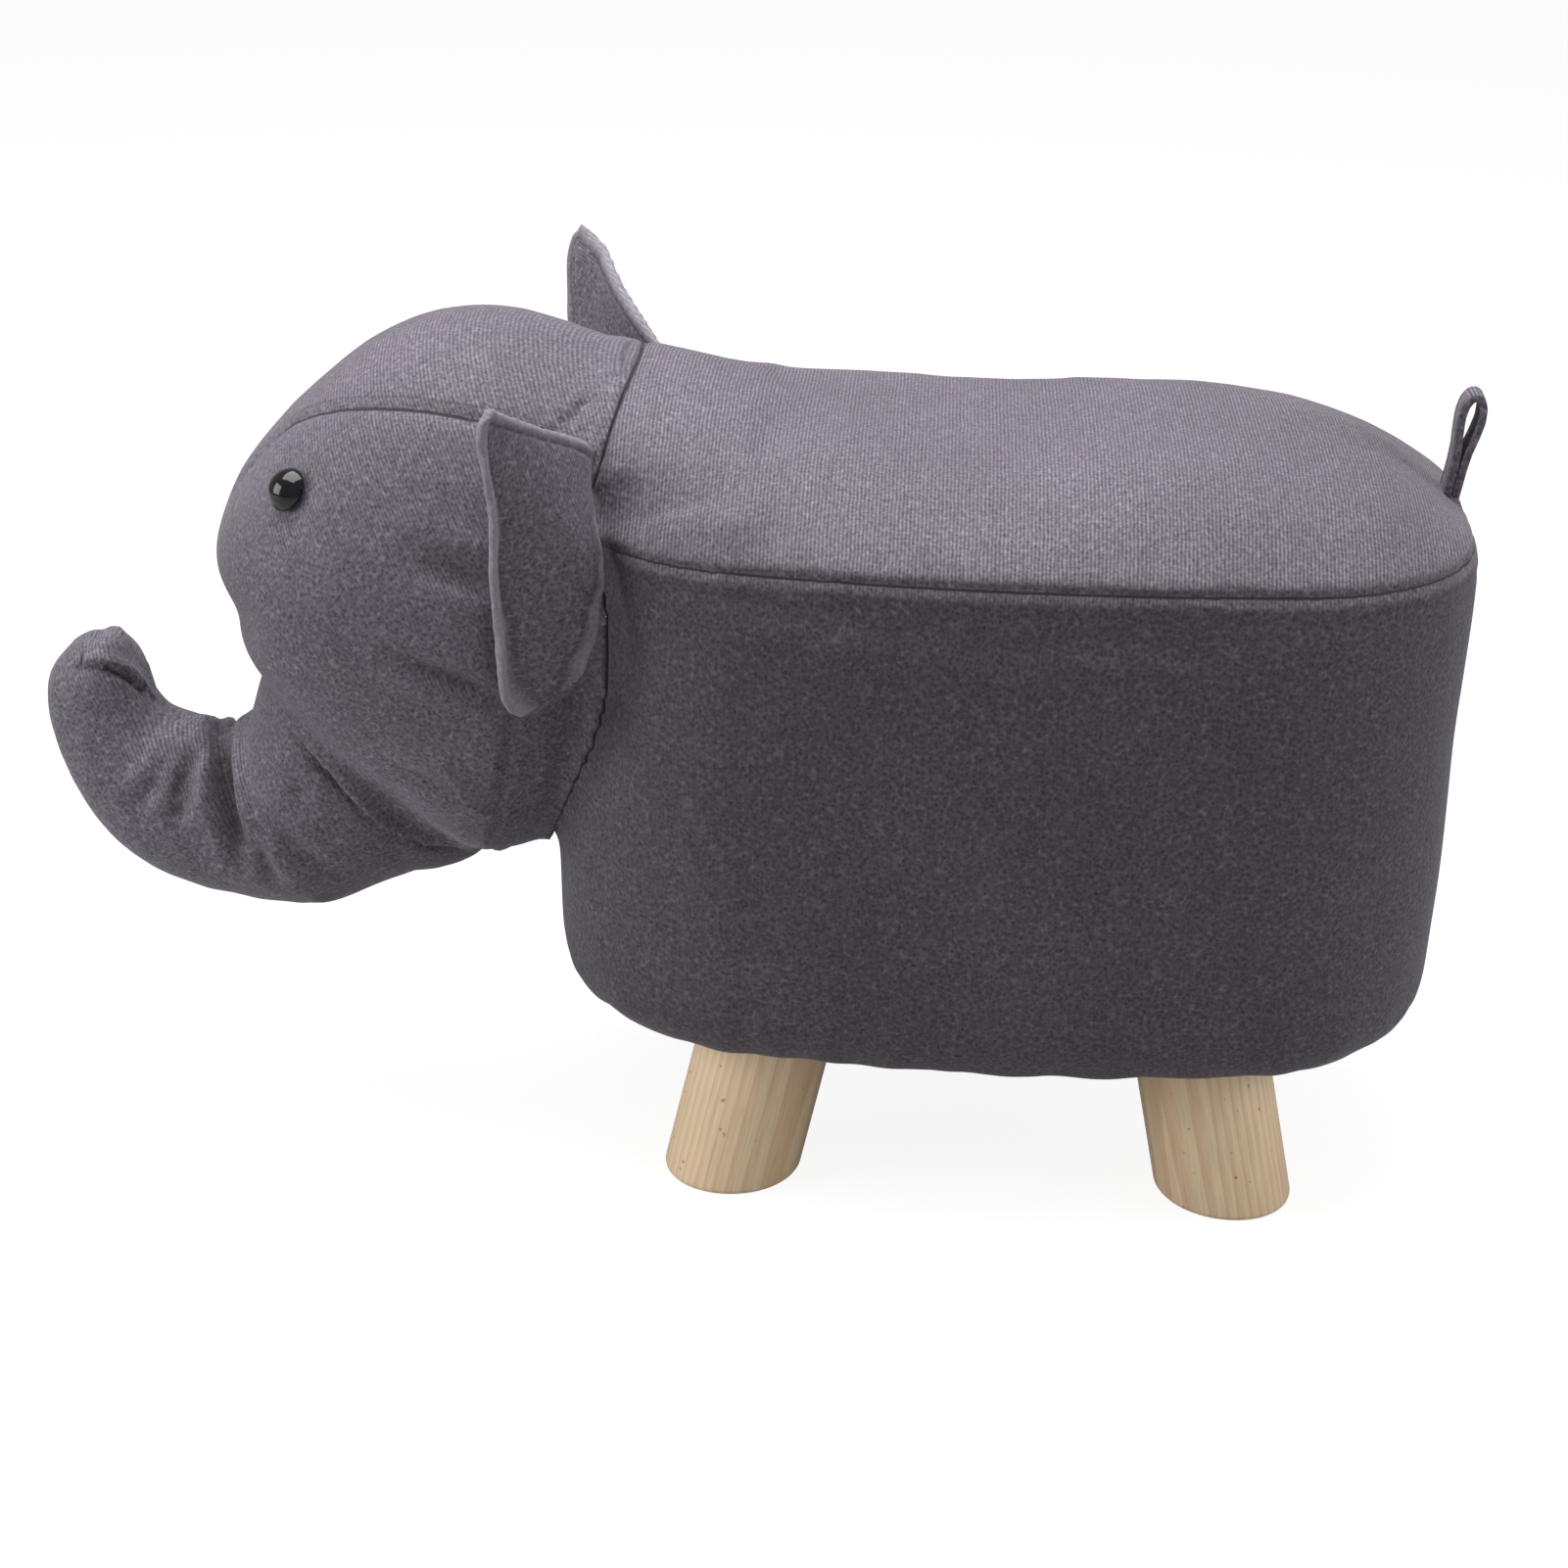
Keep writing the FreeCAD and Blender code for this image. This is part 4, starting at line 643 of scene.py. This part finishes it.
def makePlush():
    block = copyNodes("seat_block", ["cover_side_band"], hull=True)
    filling = copyNodes("seat_cover", ["seat_foam", "cover_top_panel", "head_stuffing", "trunk_root_stuffing",
                                       "trunk_curl_stuffing", "trunk_tip_stuffing", "head_gusset", "head_side_left",
                                       "head_side_right", "trunk_tip_patch"])
    pickOnly(filling, block)
    bpy.ops.object.join()
    cover = bpy.context.object
    remeshAndSmooth(cover, plush["voxel"] / 1000, plush["smoothRounds"])
    inflate(cover, plush["pressure"], plush["cap"] / 1000, plush["start"] / 1000)
    applyModifier(cover, "SUBSURF", levels=1, render_levels=1)
    print("stage: plush cover drawn over its filling,", len(cover.data.polygons), "faces")

    points = readPoints(cover)
    reach = plush["seamReach"] / 1000
    gaps = seamDistances(points,
                         {"panel": ["cover_top_panel"], "band": ["cover_side_band"], "gusset": ["head_gusset"],
                          "cheeks": ["head_side_left", "head_side_right"], "tip": ["trunk_tip_patch"]},
                         {"panelSeam": (["panel"], ["band"]),
                          "neckSeam": (["gusset", "cheeks", "tip"], ["panel", "band"]),
                          "gussetSeam": (["gusset"], ["cheeks"]),
                          "tipSeam": (["tip"], ["cheeks"])}, reach)
    # over the seat's seam the neck seam lies in one leaning plane
    lean = math.radians(headPlace["neckLean"])
    along, aside, high = inMillimetres(points)
    plane = (headPlace["neckAhead"] - along) * math.cos(lean) + (high - headPlace["middle"]) * math.sin(lean)
    upper = fadeIn(headPlace["seamBlend"], high - headPlace["seam"])
    gaps["neckSeam"] = gaps["neckSeam"] * (1 - upper) + np.clip(plane / 1000, -reach, reach) * upper
    # the head and the sag are moved first, since the bridge and the top are laid over them
    points = points + headMove(points, gaps["neckSeam"]) + sagMove(points, gaps["neckSeam"])
    points[:, 2] += bridgeMove(points)
    points[:, 2] += topMove(points)
    writePoints(cover, points)
    gaps["gussetSeam"], run = gussetGap(points)
    gaps["tipSeam"] = np.minimum(reach, lineDistance(points, tipLine)[0])
    setValues(cover, "gussetRun", run)
    # the head sides meet each other on the middle line, where there is no gusset
    onCheeks = (gaps["neckSeam"] > 0) & (gaps["gussetSeam"] < 0)
    gaps["middleSeam"] = np.where(onCheeks, points[:, 1], reach)
    for name, values in gaps.items():
        setValues(cover, name, values)

    normals = readPoints(cover, "normal")
    move = np.zeros(len(points))
    # every seam pulls in a little and puckers the cloth beside it
    tucks = pieceNoise(points, *drape["tuckWave"])
    for name, (depth, width, pucker) in seamForms.items():
        gap = np.abs(gaps[name])
        move -= depth * plush["seamDepth"] / 1000 * np.exp(-(gap / (width * plush["seamWidth"] / 1000)) ** 2)
        move += pucker * plush["pucker"] / 1000 * tucks * np.exp(-gap / (plush["puckerReach"] / 1000))
    # a shallow stitched line runs down the band beside the seat seam
    allowance = np.abs(gaps["panelSeam"] * 1000 + drape["lineDown"])
    move -= drape["lineDepth"] / 1000 * np.exp(-(allowance / drape["lineWidth"]) ** 2)
    # the hem is drawn up under the edge, and the foam gives a little everywhere
    low = 1 - fadeIn(drape["hem"], points[:, 2] * 1000)
    move += low * drape["ripple"] / 1000 * pieceNoise(points, *drape["hemWave"])
    top = fadeIn(drape["top"], points[:, 2] * 1000) * (gaps["neckSeam"] < 0)
    move += top * drape["ripple"] / 1000 * pieceNoise(points, *drape["topWave"])
    move += drape["give"] / 1000 * pieceNoise(points, *drape["giveWave"])
    # painted shade: each fold is darkened by how deep it is, where shade falls in it
    paintedShade = np.zeros(len(points))
    for fold in folds:
        for side in (-1, 1):
            shift = foldMove(points, normals, fold, side)
            move += drape["foldGain"] * shift
            paintedShade += np.clip(-shift * 1000 / drape["foldShadeDepth"], 0, 1)
    # behind the ears the cloth is drawn into a hollow along the neck seam, and painted shade darkens the hollow
    high = points[:, 2] * 1000
    hollow = fadeIn(drape["hollowLow"], high) * (1 - fadeIn(drape["hollowHigh"], high))
    hollow = hollow * np.exp(-((gaps["neckSeam"] * 1000 + drape["hollowBack"]) / drape["hollowWidth"]) ** 2)
    move -= drape["hollowDepth"] / 1000 * hollow
    paintedShade += drape["hollowShade"] * hollow
    setValues(cover, "paintedCreaseShade", np.clip(paintedShade, 0, 1))
    # the eyes are drawn tight into the stuffing
    for name in ("left_eye", "right_eye"):
        away = np.linalg.norm(points - eyeMiddle(name), axis=1)
        move -= plush["eyeDent"] / 1000 * (1 - fadeIn(drape["eye"], away * 1000))
    points = points + normals * move[:, None]
    points[:, 2] = np.maximum(points[:, 2], (plush["hemFloor"] - sagFit["hemBulge"]) / 1000)
    writePoints(cover, points)
    return cover


def partAtNeck(cover):
    # the triangles' corners nearest the neck seam are drawn on to it, and the head becomes its own piece
    applyModifier(cover, "TRIANGULATE")
    points, side = readPoints(cover), getValues(cover, "neckSeam").astype(float)
    ends = np.empty(len(cover.data.edges) * 2, dtype=np.int32)
    cover.data.edges.foreach_get("vertices", ends)
    for one, two in ends.reshape(-1, 2):
        if side[one] * side[two] < 0:
            near, far = (one, two) if abs(side[one]) < abs(side[two]) else (two, one)
            share = abs(side[near]) / (abs(side[near]) + abs(side[far]))
            points[near] += (points[far] - points[near]) * share
            side[near] = 0
    writePoints(cover, points)
    setValues(cover, "neckSeam", side)
    pickOnly(cover)
    bpy.ops.object.mode_set(mode="EDIT")
    bpy.ops.mesh.select_all(action="DESELECT")
    bpy.ops.object.mode_set(mode="OBJECT")
    corners = np.empty(len(cover.data.polygons) * 3, dtype=np.int32)
    cover.data.polygons.foreach_get("vertices", corners)
    onHead = side[corners.reshape(-1, 3)].sum(axis=1) > 0
    cover.data.polygons.foreach_set("select", onHead)
    bpy.ops.object.mode_set(mode="EDIT")
    bpy.ops.mesh.select_mode(type="FACE")
    bpy.ops.mesh.separate(type="SELECTED")
    bpy.ops.object.mode_set(mode="OBJECT")
    head = next(piece for piece in bpy.context.selected_objects if piece != cover)
    head.name = "head_cover"
    for piece in (cover, head):
        # each open neck is closed inside, with a fan about its middle
        pickOnly(piece)
        bpy.ops.object.mode_set(mode="EDIT")
        bpy.ops.mesh.select_mode(type="EDGE")
        bpy.ops.mesh.select_all(action="DESELECT")
        bpy.ops.mesh.select_non_manifold(extend=False, use_wire=False, use_multi_face=False,
                                         use_non_contiguous=False, use_verts=False)
        bpy.ops.mesh.edge_face_add()
        bpy.ops.mesh.poke()
        bpy.ops.object.mode_set(mode="OBJECT")
        bpy.ops.object.shade_smooth()
    return head


seatCover = makePlush()
headCover = partAtNeck(seatCover)
# painted shade: the seat's upright band is darkened strongly, and on seat and head the folds and the hollow behind the
# ears are darkened too
useMaterial(seatCover, velourMaterial("grey velour on the seat", ["panelSeam", "neckSeam"], pebbles=0.5,
                                       sideShade=0.52, shadeAttribute="paintedCreaseShade"))
useMaterial(headCover, velourMaterial("grey velour on the head", ["neckSeam", "gussetSeam", "tipSeam"],
                                      [("gussetSeam", 5.5, "gussetRun")], ribTurn=28, pebbles=0.6,
                                       shadeAttribute="paintedCreaseShade"))
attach(seatCover, "stool")
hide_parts("cover_top_panel", "cover_side_band", "seat_foam", "side_foam")
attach(headCover, "stool")
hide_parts("head_side_left", "head_side_right", "head_gusset", "trunk_tip_patch", "head_stuffing",
            "trunk_root_stuffing", "trunk_curl_stuffing", "trunk_tip_stuffing")
print("stage: seat and head covers with", len(seatCover.data.polygons), "and", len(headCover.data.polygons), "faces")


# eyes: the polished domes, seated where the stuffed head has them
def makeEye(name):
    piece = copyNodes(name + "_dome", [name])
    points = readPoints(piece)
    writePoints(piece, points + eyeShift(name))
    pickOnly(piece)
    bpy.ops.object.shade_smooth_by_angle(angle=math.radians(40))
    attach(piece, "stool")
    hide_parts(name)
    return piece


eyeDomes = [makeEye("left_eye"), makeEye("right_eye")]


# ears: two layers of velour over thin wadding, turned out and stitched round the rim
ear = {"voxel": 2.0, "smoothRounds": 2, "pressure": 1.5, "cap": 0.9, "start": 0.5, "rimStitch": 4.6,
       "stitchDepth": 0.7, "rimPuff": 0.45, "rootTop": (-162.5, 58, 317), "rootLow": (-177.5, 90, 225),
       "rootReach": 9, "rootPull": 6, "foldAside": 94, "foldReach": 12, "foldAhead": -169, "foldHeight": 271,
       "rootAside": (90, 58), "edgeAside": (108, 140), "low": 225, "high": 350, "face": (0.93, 0.37, -0.05),
       "rimFacing": 0.55, "freeFrom": (10, 20), "rimWidth": 1.5, "stitchWidth": 1.1, "give": 0.7, "giveWave": 40,
       "swellReach": 1.09, "turnFrom": (2, 20)}
# how each ear hangs, in mm: its swell to the rear at mid height, how far the root's top goes back and up, how far
# the lower free edge and the top corner come forward, the corner's lift, the tip's drop and the turn of its face
earHang = {-1: {"swell": 27, "rootRear": 0, "rootLift": 0, "freeAhead": 9, "cornerAhead": 5, "cornerLift": 3,
                "tipDrop": 6, "turn": 0},
           1: {"swell": 6, "rootRear": 13, "rootLift": 5, "freeAhead": 15, "cornerAhead": 3, "cornerLift": 7,
               "tipDrop": 0, "turn": 9}}


def makeEar(name, side):
    # side is -1 for the left ear, which the photograph shows in full
    piece = copyNodes(name + "_cover", [name + "_outer", name + "_wadding", name + "_lining"])
    remeshAndSmooth(piece, ear["voxel"] / 1000, ear["smoothRounds"])
    inflate(piece, ear["pressure"], ear["cap"] / 1000, ear["start"] / 1000, frames=10)
    applyModifier(piece, "SUBSURF", levels=1, render_levels=1)
    points, normals = readPoints(piece), readPoints(piece, "normal")
    face = Vector((ear["face"][0], ear["face"][1] * side, ear["face"][2])).normalized()
    facing = np.abs(normals @ np.array(face))
    rim = np.nonzero(facing < ear["rimFacing"])[0]
    near = kdtree.KDTree(len(rim))
    for number, index in enumerate(rim):
        near.insert(points[index], number)
    near.balance()
    rimGap = np.array([near.find(point)[2] for point in points])
    rootLine = [(x, y * side, z) for x, y, z in (ear["rootTop"], ear["rootLow"])]
    rootGap = lineDistance(points, rootLine)[0]
    free = fadeIn(ear["freeFrom"], rootGap * 1000)
    move = ear["rimPuff"] * np.exp(-((rimGap * 1000 - ear["rimWidth"]) / ear["rimWidth"]) ** 2)
    move -= ear["stitchDepth"] * np.exp(-((rimGap * 1000 - ear["rimStitch"]) / ear["stitchWidth"]) ** 2)
    points = points + normals * (move / 1000 * free)[:, None]
    points += normals * (ear["give"] / 1000 * pieceNoise(points, ear["giveWave"]))[:, None]
    # each ear hangs in its own way
    hang = earHang[side]
    up = np.clip((points[:, 2] * 1000 - ear["low"]) / (ear["high"] - ear["low"]), 0, 1)
    inner = ear["rootAside"][0] + (ear["rootAside"][1] - ear["rootAside"][0]) * up
    outer = ear["edgeAside"][0] + (ear["edgeAside"][1] - ear["edgeAside"][0]) * up
    out = np.clip((points[:, 1] * side * 1000 - inner) / (outer - inner), 0, 1)
    points[:, 0] += (hang["swell"] * np.sin(np.pi * np.minimum(1, ear["swellReach"] * out)) * np.sin(np.pi * up ** 0.6)
                     + hang["rootRear"] * (1 - out) * up - hang["freeAhead"] * out * (1 - up) ** 0.6
                     - hang["cornerAhead"] * out * up
                     + hang["turn"] * up * fadeIn(ear["turnFrom"], outer - points[:, 1] * side * 1000)) / 1000
    points[:, 2] += (hang["rootLift"] * (1 - out) * up + hang["cornerLift"] * out * up ** 2
                     - hang["tipDrop"] * out * (1 - up) ** 2) / 1000
    # the root runs into the neck seam
    pull = ear["rootPull"] / 1000 * (1 - smoothStep(0.001, ear["rootReach"] / 1000, rootGap))
    points[:, 1] -= side * pull
    writePoints(piece, points)
    setValues(piece, "rimGap", np.where(free > 0.5, rimGap, 0.03))
    setValues(piece, "rimRun", points[:, 2])
    pickOnly(piece)
    bpy.ops.object.shade_smooth()
    useMaterial(piece, earVelour)
    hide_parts(name + "_outer", name + "_wadding", name + "_lining")
    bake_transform(piece)
    return piece


earVelour = velourMaterial("grey velour on the ears", [], [("rimGap", ear["rimStitch"], "rimRun")], ribTurn=70,
                           pebbles=0.4, edge="rimGap")
leftEar = makeEar("left_ear", -1)
makeEar("right_ear", 1)
print("stage: ears with", len(leftEar.data.polygons), "faces each")


# tail: a strap of the same velour folded into a drop-shaped loop, stitched along both edges
tail = {"foot": (180.0, 0, 299.0), "lean": 8.5, "halfWidth": 7.0, "thickness": 3.3, "along": 90, "across": 16,
        "stitchInset": 1.8, "stitchDepth": 0.35, "stitchWidth": 0.6, "twist": 3, "twistFull": 40, "flat": (0.3, 0.6)}
# the middle of the strap from one end over the top to the other, in mm across and up
tailPath = np.array([(-1.75, -4), (-1.8, 9), (-2.3, 16), (-3.5, 24), (-4.1, 30), (-3.6, 35), (-2.0, 38.2),
                     (0.2, 39.2), (2.2, 38), (3.7, 34.5), (4.2, 29), (3.5, 23), (2.3, 16), (1.8, 9), (1.75, -4)])


def makeTail():
    bpy.ops.mesh.primitive_grid_add(x_subdivisions=tail["along"], y_subdivisions=tail["across"], size=1)
    piece = bpy.context.object
    piece.name = "tail_strap"
    points = readPoints(piece)
    steps = np.linalg.norm(np.diff(tailPath, axis=0), axis=1)
    run = np.concatenate([[0], np.cumsum(steps)]) / steps.sum()
    share = points[:, 0] + 0.5
    across = np.interp(share, run, tailPath[:, 0])
    up = np.interp(share, run, tailPath[:, 1])
    aside = points[:, 1] * 2 * tail["halfWidth"]
    # the loop is turned a little about its own length
    across = across + aside * math.sin(math.radians(tail["twist"])) * np.clip(up / tail["twistFull"], 0, 1)
    lean = math.radians(tail["lean"])
    foot = place(*tail["foot"])
    writePoints(piece, np.stack([foot.x + (across * math.cos(lean) + up * math.sin(lean)) / 1000, aside / 1000,
                                 foot.z + (up * math.cos(lean) - across * math.sin(lean)) / 1000], axis=1))
    edgeGap = (tail["halfWidth"] - np.abs(aside)) / 1000
    setValues(piece, "edgeGap", edgeGap)
    setValues(piece, "strapRun", share * steps.sum() / 1000)
    applyModifier(piece, "SMOOTH", factor=0.5, iterations=3)
    applyModifier(piece, "SOLIDIFY", thickness=tail["thickness"] / 1000, offset=0)
    applyModifier(piece, "SUBSURF", levels=1, render_levels=1)
    points, normals = readPoints(piece), readPoints(piece, "normal")
    edgeGap = getValues(piece, "edgeGap")
    flat = 1 - fadeIn(tail["flat"], np.abs(normals[:, 1]))
    groove = tail["stitchDepth"] / 1000 * np.exp(-((edgeGap * 1000 - tail["stitchInset"]) / tail["stitchWidth"]) ** 2)
    writePoints(piece, points - normals * (groove * flat)[:, None])
    pickOnly(piece)
    bpy.ops.object.shade_smooth()
    useMaterial(piece, velourMaterial("grey velour strap", [], [("edgeGap", tail["stitchInset"], "strapRun")],
                                      pebbles=0.3))
    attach(piece, "tail")
    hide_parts("tail_loop")


makeTail()


# dust cover: thin black spun cloth, stapled flat under the base, cut round the legs
dust = {"width": 183, "length": 310, "cell": 4, "margin": 4, "sag": 0.5, "thickness": 0.4, "cutterStretch": 40,
        "wave": (30, (1, 1, 0)), "sagShare": 0.5, "waveShare": 0.8}


def makeDustCover():
    low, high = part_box("dust_cover")
    middle = (low + high) / 2
    bpy.ops.object.select_all(action="DESELECT")
    bpy.ops.mesh.primitive_grid_add(x_subdivisions=int(dust["length"] / dust["cell"]),
                                    y_subdivisions=int(dust["width"] / dust["cell"]), size=1,
                                    location=(middle.x, middle.y, middle.z))
    piece = bpy.context.object
    piece.name = "dust_sheet"
    piece.scale = (high.x - low.x + dust["margin"] / 1000, high.y - low.y + dust["margin"] / 1000, 1)
    bpy.ops.object.transform_apply(location=True, rotation=False, scale=True)
    cutter = copyNodes("dust_cutter", ["dust_cover"])
    shape = readPoints(cutter)
    shape[:, 2] = middle.z + (shape[:, 2] - middle.z) * dust["cutterStretch"]
    writePoints(cutter, shape)
    applyModifier(piece, "SOLIDIFY", thickness=dust["thickness"] / 1000, offset=0)
    applyModifier(piece, "BOOLEAN", operation="INTERSECT", solver="EXACT", object=cutter)
    bpy.data.objects.remove(cutter)
    points = readPoints(piece)
    waves = pieceNoise(points, *dust["wave"])
    points[:, 2] -= dust["sag"] / 1000 * (dust["sagShare"] + dust["waveShare"] * waves)
    writePoints(piece, points)
    return piece


dustSheet = makeDustCover()


def spunCloth():
    # polypropylene spun cloth: matt black, felted, with a fine pressed dot every 2 mm
    material, tree, shader, where = startMaterial("black spun cloth")
    dots = addNode(tree, "ShaderNodeTexVoronoi", {"Vector": where.outputs["Object"], "Scale": 500.0,
                                                  "Randomness": 0.0})
    fibres = grainNoise(tree, where.outputs["Object"], 700.0, 4.0)
    tree.links.new(mixTones(tree, fibres, linear("#17171A"), linear("#34343A")), shader.inputs["Base Color"])
    shader.inputs["Roughness"].default_value = 0.85
    addBump(tree, shader, calc(tree, "ADD", dots.outputs["Distance"], fibres), 0.5, 0.0003)
    return material


useMaterial(dustSheet, spunCloth())
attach(dustSheet, "stool")
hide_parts("dust_cover")
print("stage: tail strap and dust cover")


# legs: turned pine dowels with a rounded foot, cut level at both ends
leg = {"ahead": 106, "aside": 67, "radius": 28.5, "splay": 0.22, "top": 70.3, "sides": 96, "footRound": 3.0}
# growth lines run down the leg; the ring spacing of fast pine is about 4 mm
pine = {"pale": "#EFD5B2", "late": "#CB935C", "speck": "#6B4424", "ringPitch": 4.0,
        "ringEdge": (0.35, 0.97), "softness": 0.65, "roughness": 0.5}


def makeLeg(name, ahead, aside):
    foot = place(ahead * leg["ahead"], aside * leg["aside"], 0)
    axis = Vector((-ahead * leg["splay"], -aside * leg["splay"], 1)).normalized()
    length = 2 * leg["top"] / 1000
    bpy.ops.object.select_all(action="DESELECT")
    bpy.ops.mesh.primitive_cylinder_add(vertices=leg["sides"], radius=leg["radius"] / 1000, depth=length,
                                        location=foot + axis * leg["top"] / 2000,
                                        rotation=axis.to_track_quat("Z", "Y").to_euler())
    piece = bpy.context.object
    piece.name = name + "_dowel"
    bpy.ops.object.transform_apply(location=True, rotation=True, scale=True)
    bpy.ops.object.mode_set(mode="EDIT")
    bpy.ops.mesh.select_all(action="SELECT")
    bpy.ops.mesh.bisect(plane_co=(0, 0, 0), plane_no=(0, 0, 1), use_fill=True, clear_inner=True)
    bpy.ops.mesh.select_all(action="SELECT")
    bpy.ops.mesh.bisect(plane_co=(0, 0, leg["top"] / 1000), plane_no=(0, 0, 1), use_fill=True, clear_outer=True)
    bpy.ops.mesh.select_all(action="DESELECT")
    bpy.ops.object.mode_set(mode="OBJECT")
    for edge in piece.data.edges:
        edge.select = all(piece.data.vertices[index].co.z < 1e-5 for index in edge.vertices)
    bpy.ops.object.mode_set(mode="EDIT")
    bpy.ops.mesh.select_mode(type="EDGE")
    bpy.ops.mesh.bevel(offset=leg["footRound"] / 1000, segments=5, affect="EDGES")
    bpy.ops.object.mode_set(mode="OBJECT")
    bpy.ops.object.shade_smooth_by_angle(angle=math.radians(35))
    useMaterial(piece, pineWood(name, foot, axis))
    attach(piece, "stool")
    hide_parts(name)
    return piece


def pineWood(name, foot, axis):
    material, tree, shader, where = startMaterial("turned pine, " + name.replace("_", " "))
    # the grain follows the leg's own axis, and each leg is cut from another place in the plank
    turn = axis.to_track_quat("Z", "Y").inverted().to_euler()
    shifted = addNode(tree, "ShaderNodeVectorMath", {0: where.outputs["Object"], 1: tuple(foot)}, operation="SUBTRACT")
    turned = addNode(tree, "ShaderNodeMapping", {"Vector": shifted.outputs[0], "Rotation": tuple(turn)},
                     vector_type="POINT")
    plank = addNode(tree, "ShaderNodeVectorMath", {0: turned.outputs[0], 1: (foot.x * 3, foot.y * 5, 0)},
                    operation="ADD")
    long = addNode(tree, "ShaderNodeMapping", {"Vector": plank.outputs[0], "Scale": (1, 1, 0.06)})
    rings = addNode(tree, "ShaderNodeTexWave",
                    {"Vector": long.outputs[0], "Scale": 0.314 / (pine["ringPitch"] / 1000), "Distortion": 5.0,
                     "Detail": 2.0, "Detail Scale": 0.6}, bands_direction="X", wave_profile="SAW")
    fibres = grainNoise(tree, long.outputs[0], 900.0, 3.0)
    tone = addNode(tree, "ShaderNodeValToRGB", {0: rings.outputs["Fac"]})
    for edge, wood, stop in zip(pine["ringEdge"], ("pale", "late"), tone.color_ramp.elements):
        stop.position = edge
        stop.color = linear(pine[wood])
    soft = mixTones(tree, pine["softness"], tone.outputs[0], linear(pine["pale"]))
    fine = rescale(tree, fibres, (0.3, 0.7), (0.9, 1.07))
    colour = addNode(tree, "ShaderNodeVectorMath", {0: soft, "Scale": fine}, operation="SCALE").outputs[0]
    specks = rescale(tree, grainNoise(tree, plank.outputs[0], 260.0, 1.0), (0.74, 0.79), (0.0, 0.55))
    tree.links.new(mixTones(tree, specks, colour, linear(pine["speck"])), shader.inputs["Base Color"])
    shader.inputs["Roughness"].default_value = pine["roughness"]
    addBump(tree, shader, fibres, 0.3, 0.0002)
    return material


for legName, legAhead, legAside in (("front_left_leg", -1, -1), ("front_right_leg", -1, 1),
                                    ("rear_left_leg", 1, -1), ("rear_right_leg", 1, 1)):
    makeLeg(legName, legAhead, legAside)
print("stage: four legs")


# smooth materials, clouded by a slow noise between two tones and two values of roughness
def cloudyMaterial(name, scale, detail, tones, roughness, metallic=0.0):
    material, tree, shader, where = startMaterial(name)
    cloud = grainNoise(tree, where.outputs["Object"], scale, detail)
    tree.links.new(rescale(tree, cloud, target=roughness), shader.inputs["Roughness"])
    tree.links.new(mixTones(tree, cloud, linear(tones[0]), linear(tones[1])), shader.inputs["Base Color"])
    shader.inputs["Metallic"].default_value = metallic
    return material


def grainedWood(name, pale, late, pitch, direction):
    # sawn boards: plies show as bands on the edges, and long fibres on the faces
    material, tree, shader, where = startMaterial(name)
    bands = addNode(tree, "ShaderNodeTexWave", {"Vector": where.outputs["Object"], "Scale": 0.314 / (pitch / 1000),
                                                "Distortion": 1.5, "Detail": 2.0}, bands_direction=direction)
    fibres = grainNoise(tree, where.outputs["Object"], 400.0, 3.0)
    share = calc(tree, "MULTIPLY", bands.outputs["Fac"], fibres)
    tree.links.new(mixTones(tree, share, linear(pale), linear(late)), shader.inputs["Base Color"])
    shader.inputs["Roughness"].default_value = 0.7
    addBump(tree, shader, fibres, 0.4, 0.0003)
    return material


# the eyes are moulded with a hard polish, zinc plating is bright and faintly clouded, and nylon is milky and waxy
blackPlastic = cloudyMaterial("polished black plastic", 300.0, 2.0, ("#08080A", "#141418"), (0.06, 0.16))
zincSteel = cloudyMaterial("zinc plated steel", 500.0, 3.0, ("#B9BBB8", "#D6D7D2"), (0.25, 0.5), metallic=1.0)
nylon = cloudyMaterial("natural nylon", 200.0, 2.0, ("#DAD8CE", "#ECEBE4"), (0.45, 0.45))
for dome in eyeDomes:
    useMaterial(dome, blackPlastic)
finishes = {nylon: ["left_eye_washer", "right_eye_washer"],
            zincSteel: ["base_screws", "seat_screws", "leg_bolts", "leg_nuts", "hem_staples"],
            grainedWood("birch plywood", "#D8BE93", "#B48D5C", 1.4, "Z"): ["base_board", "seat_board", "frame_wrap"],
            grainedWood("sawn spruce", "#E2CDA4", "#C29E6B", 3.5, "X"):
                ["front_left_post", "front_right_post", "rear_left_post", "rear_right_post"]}
for finish, members in finishes.items():
    for member in members:
        useMaterial(nodes[member], finish)
print("stage: materials on the CAD nodes")
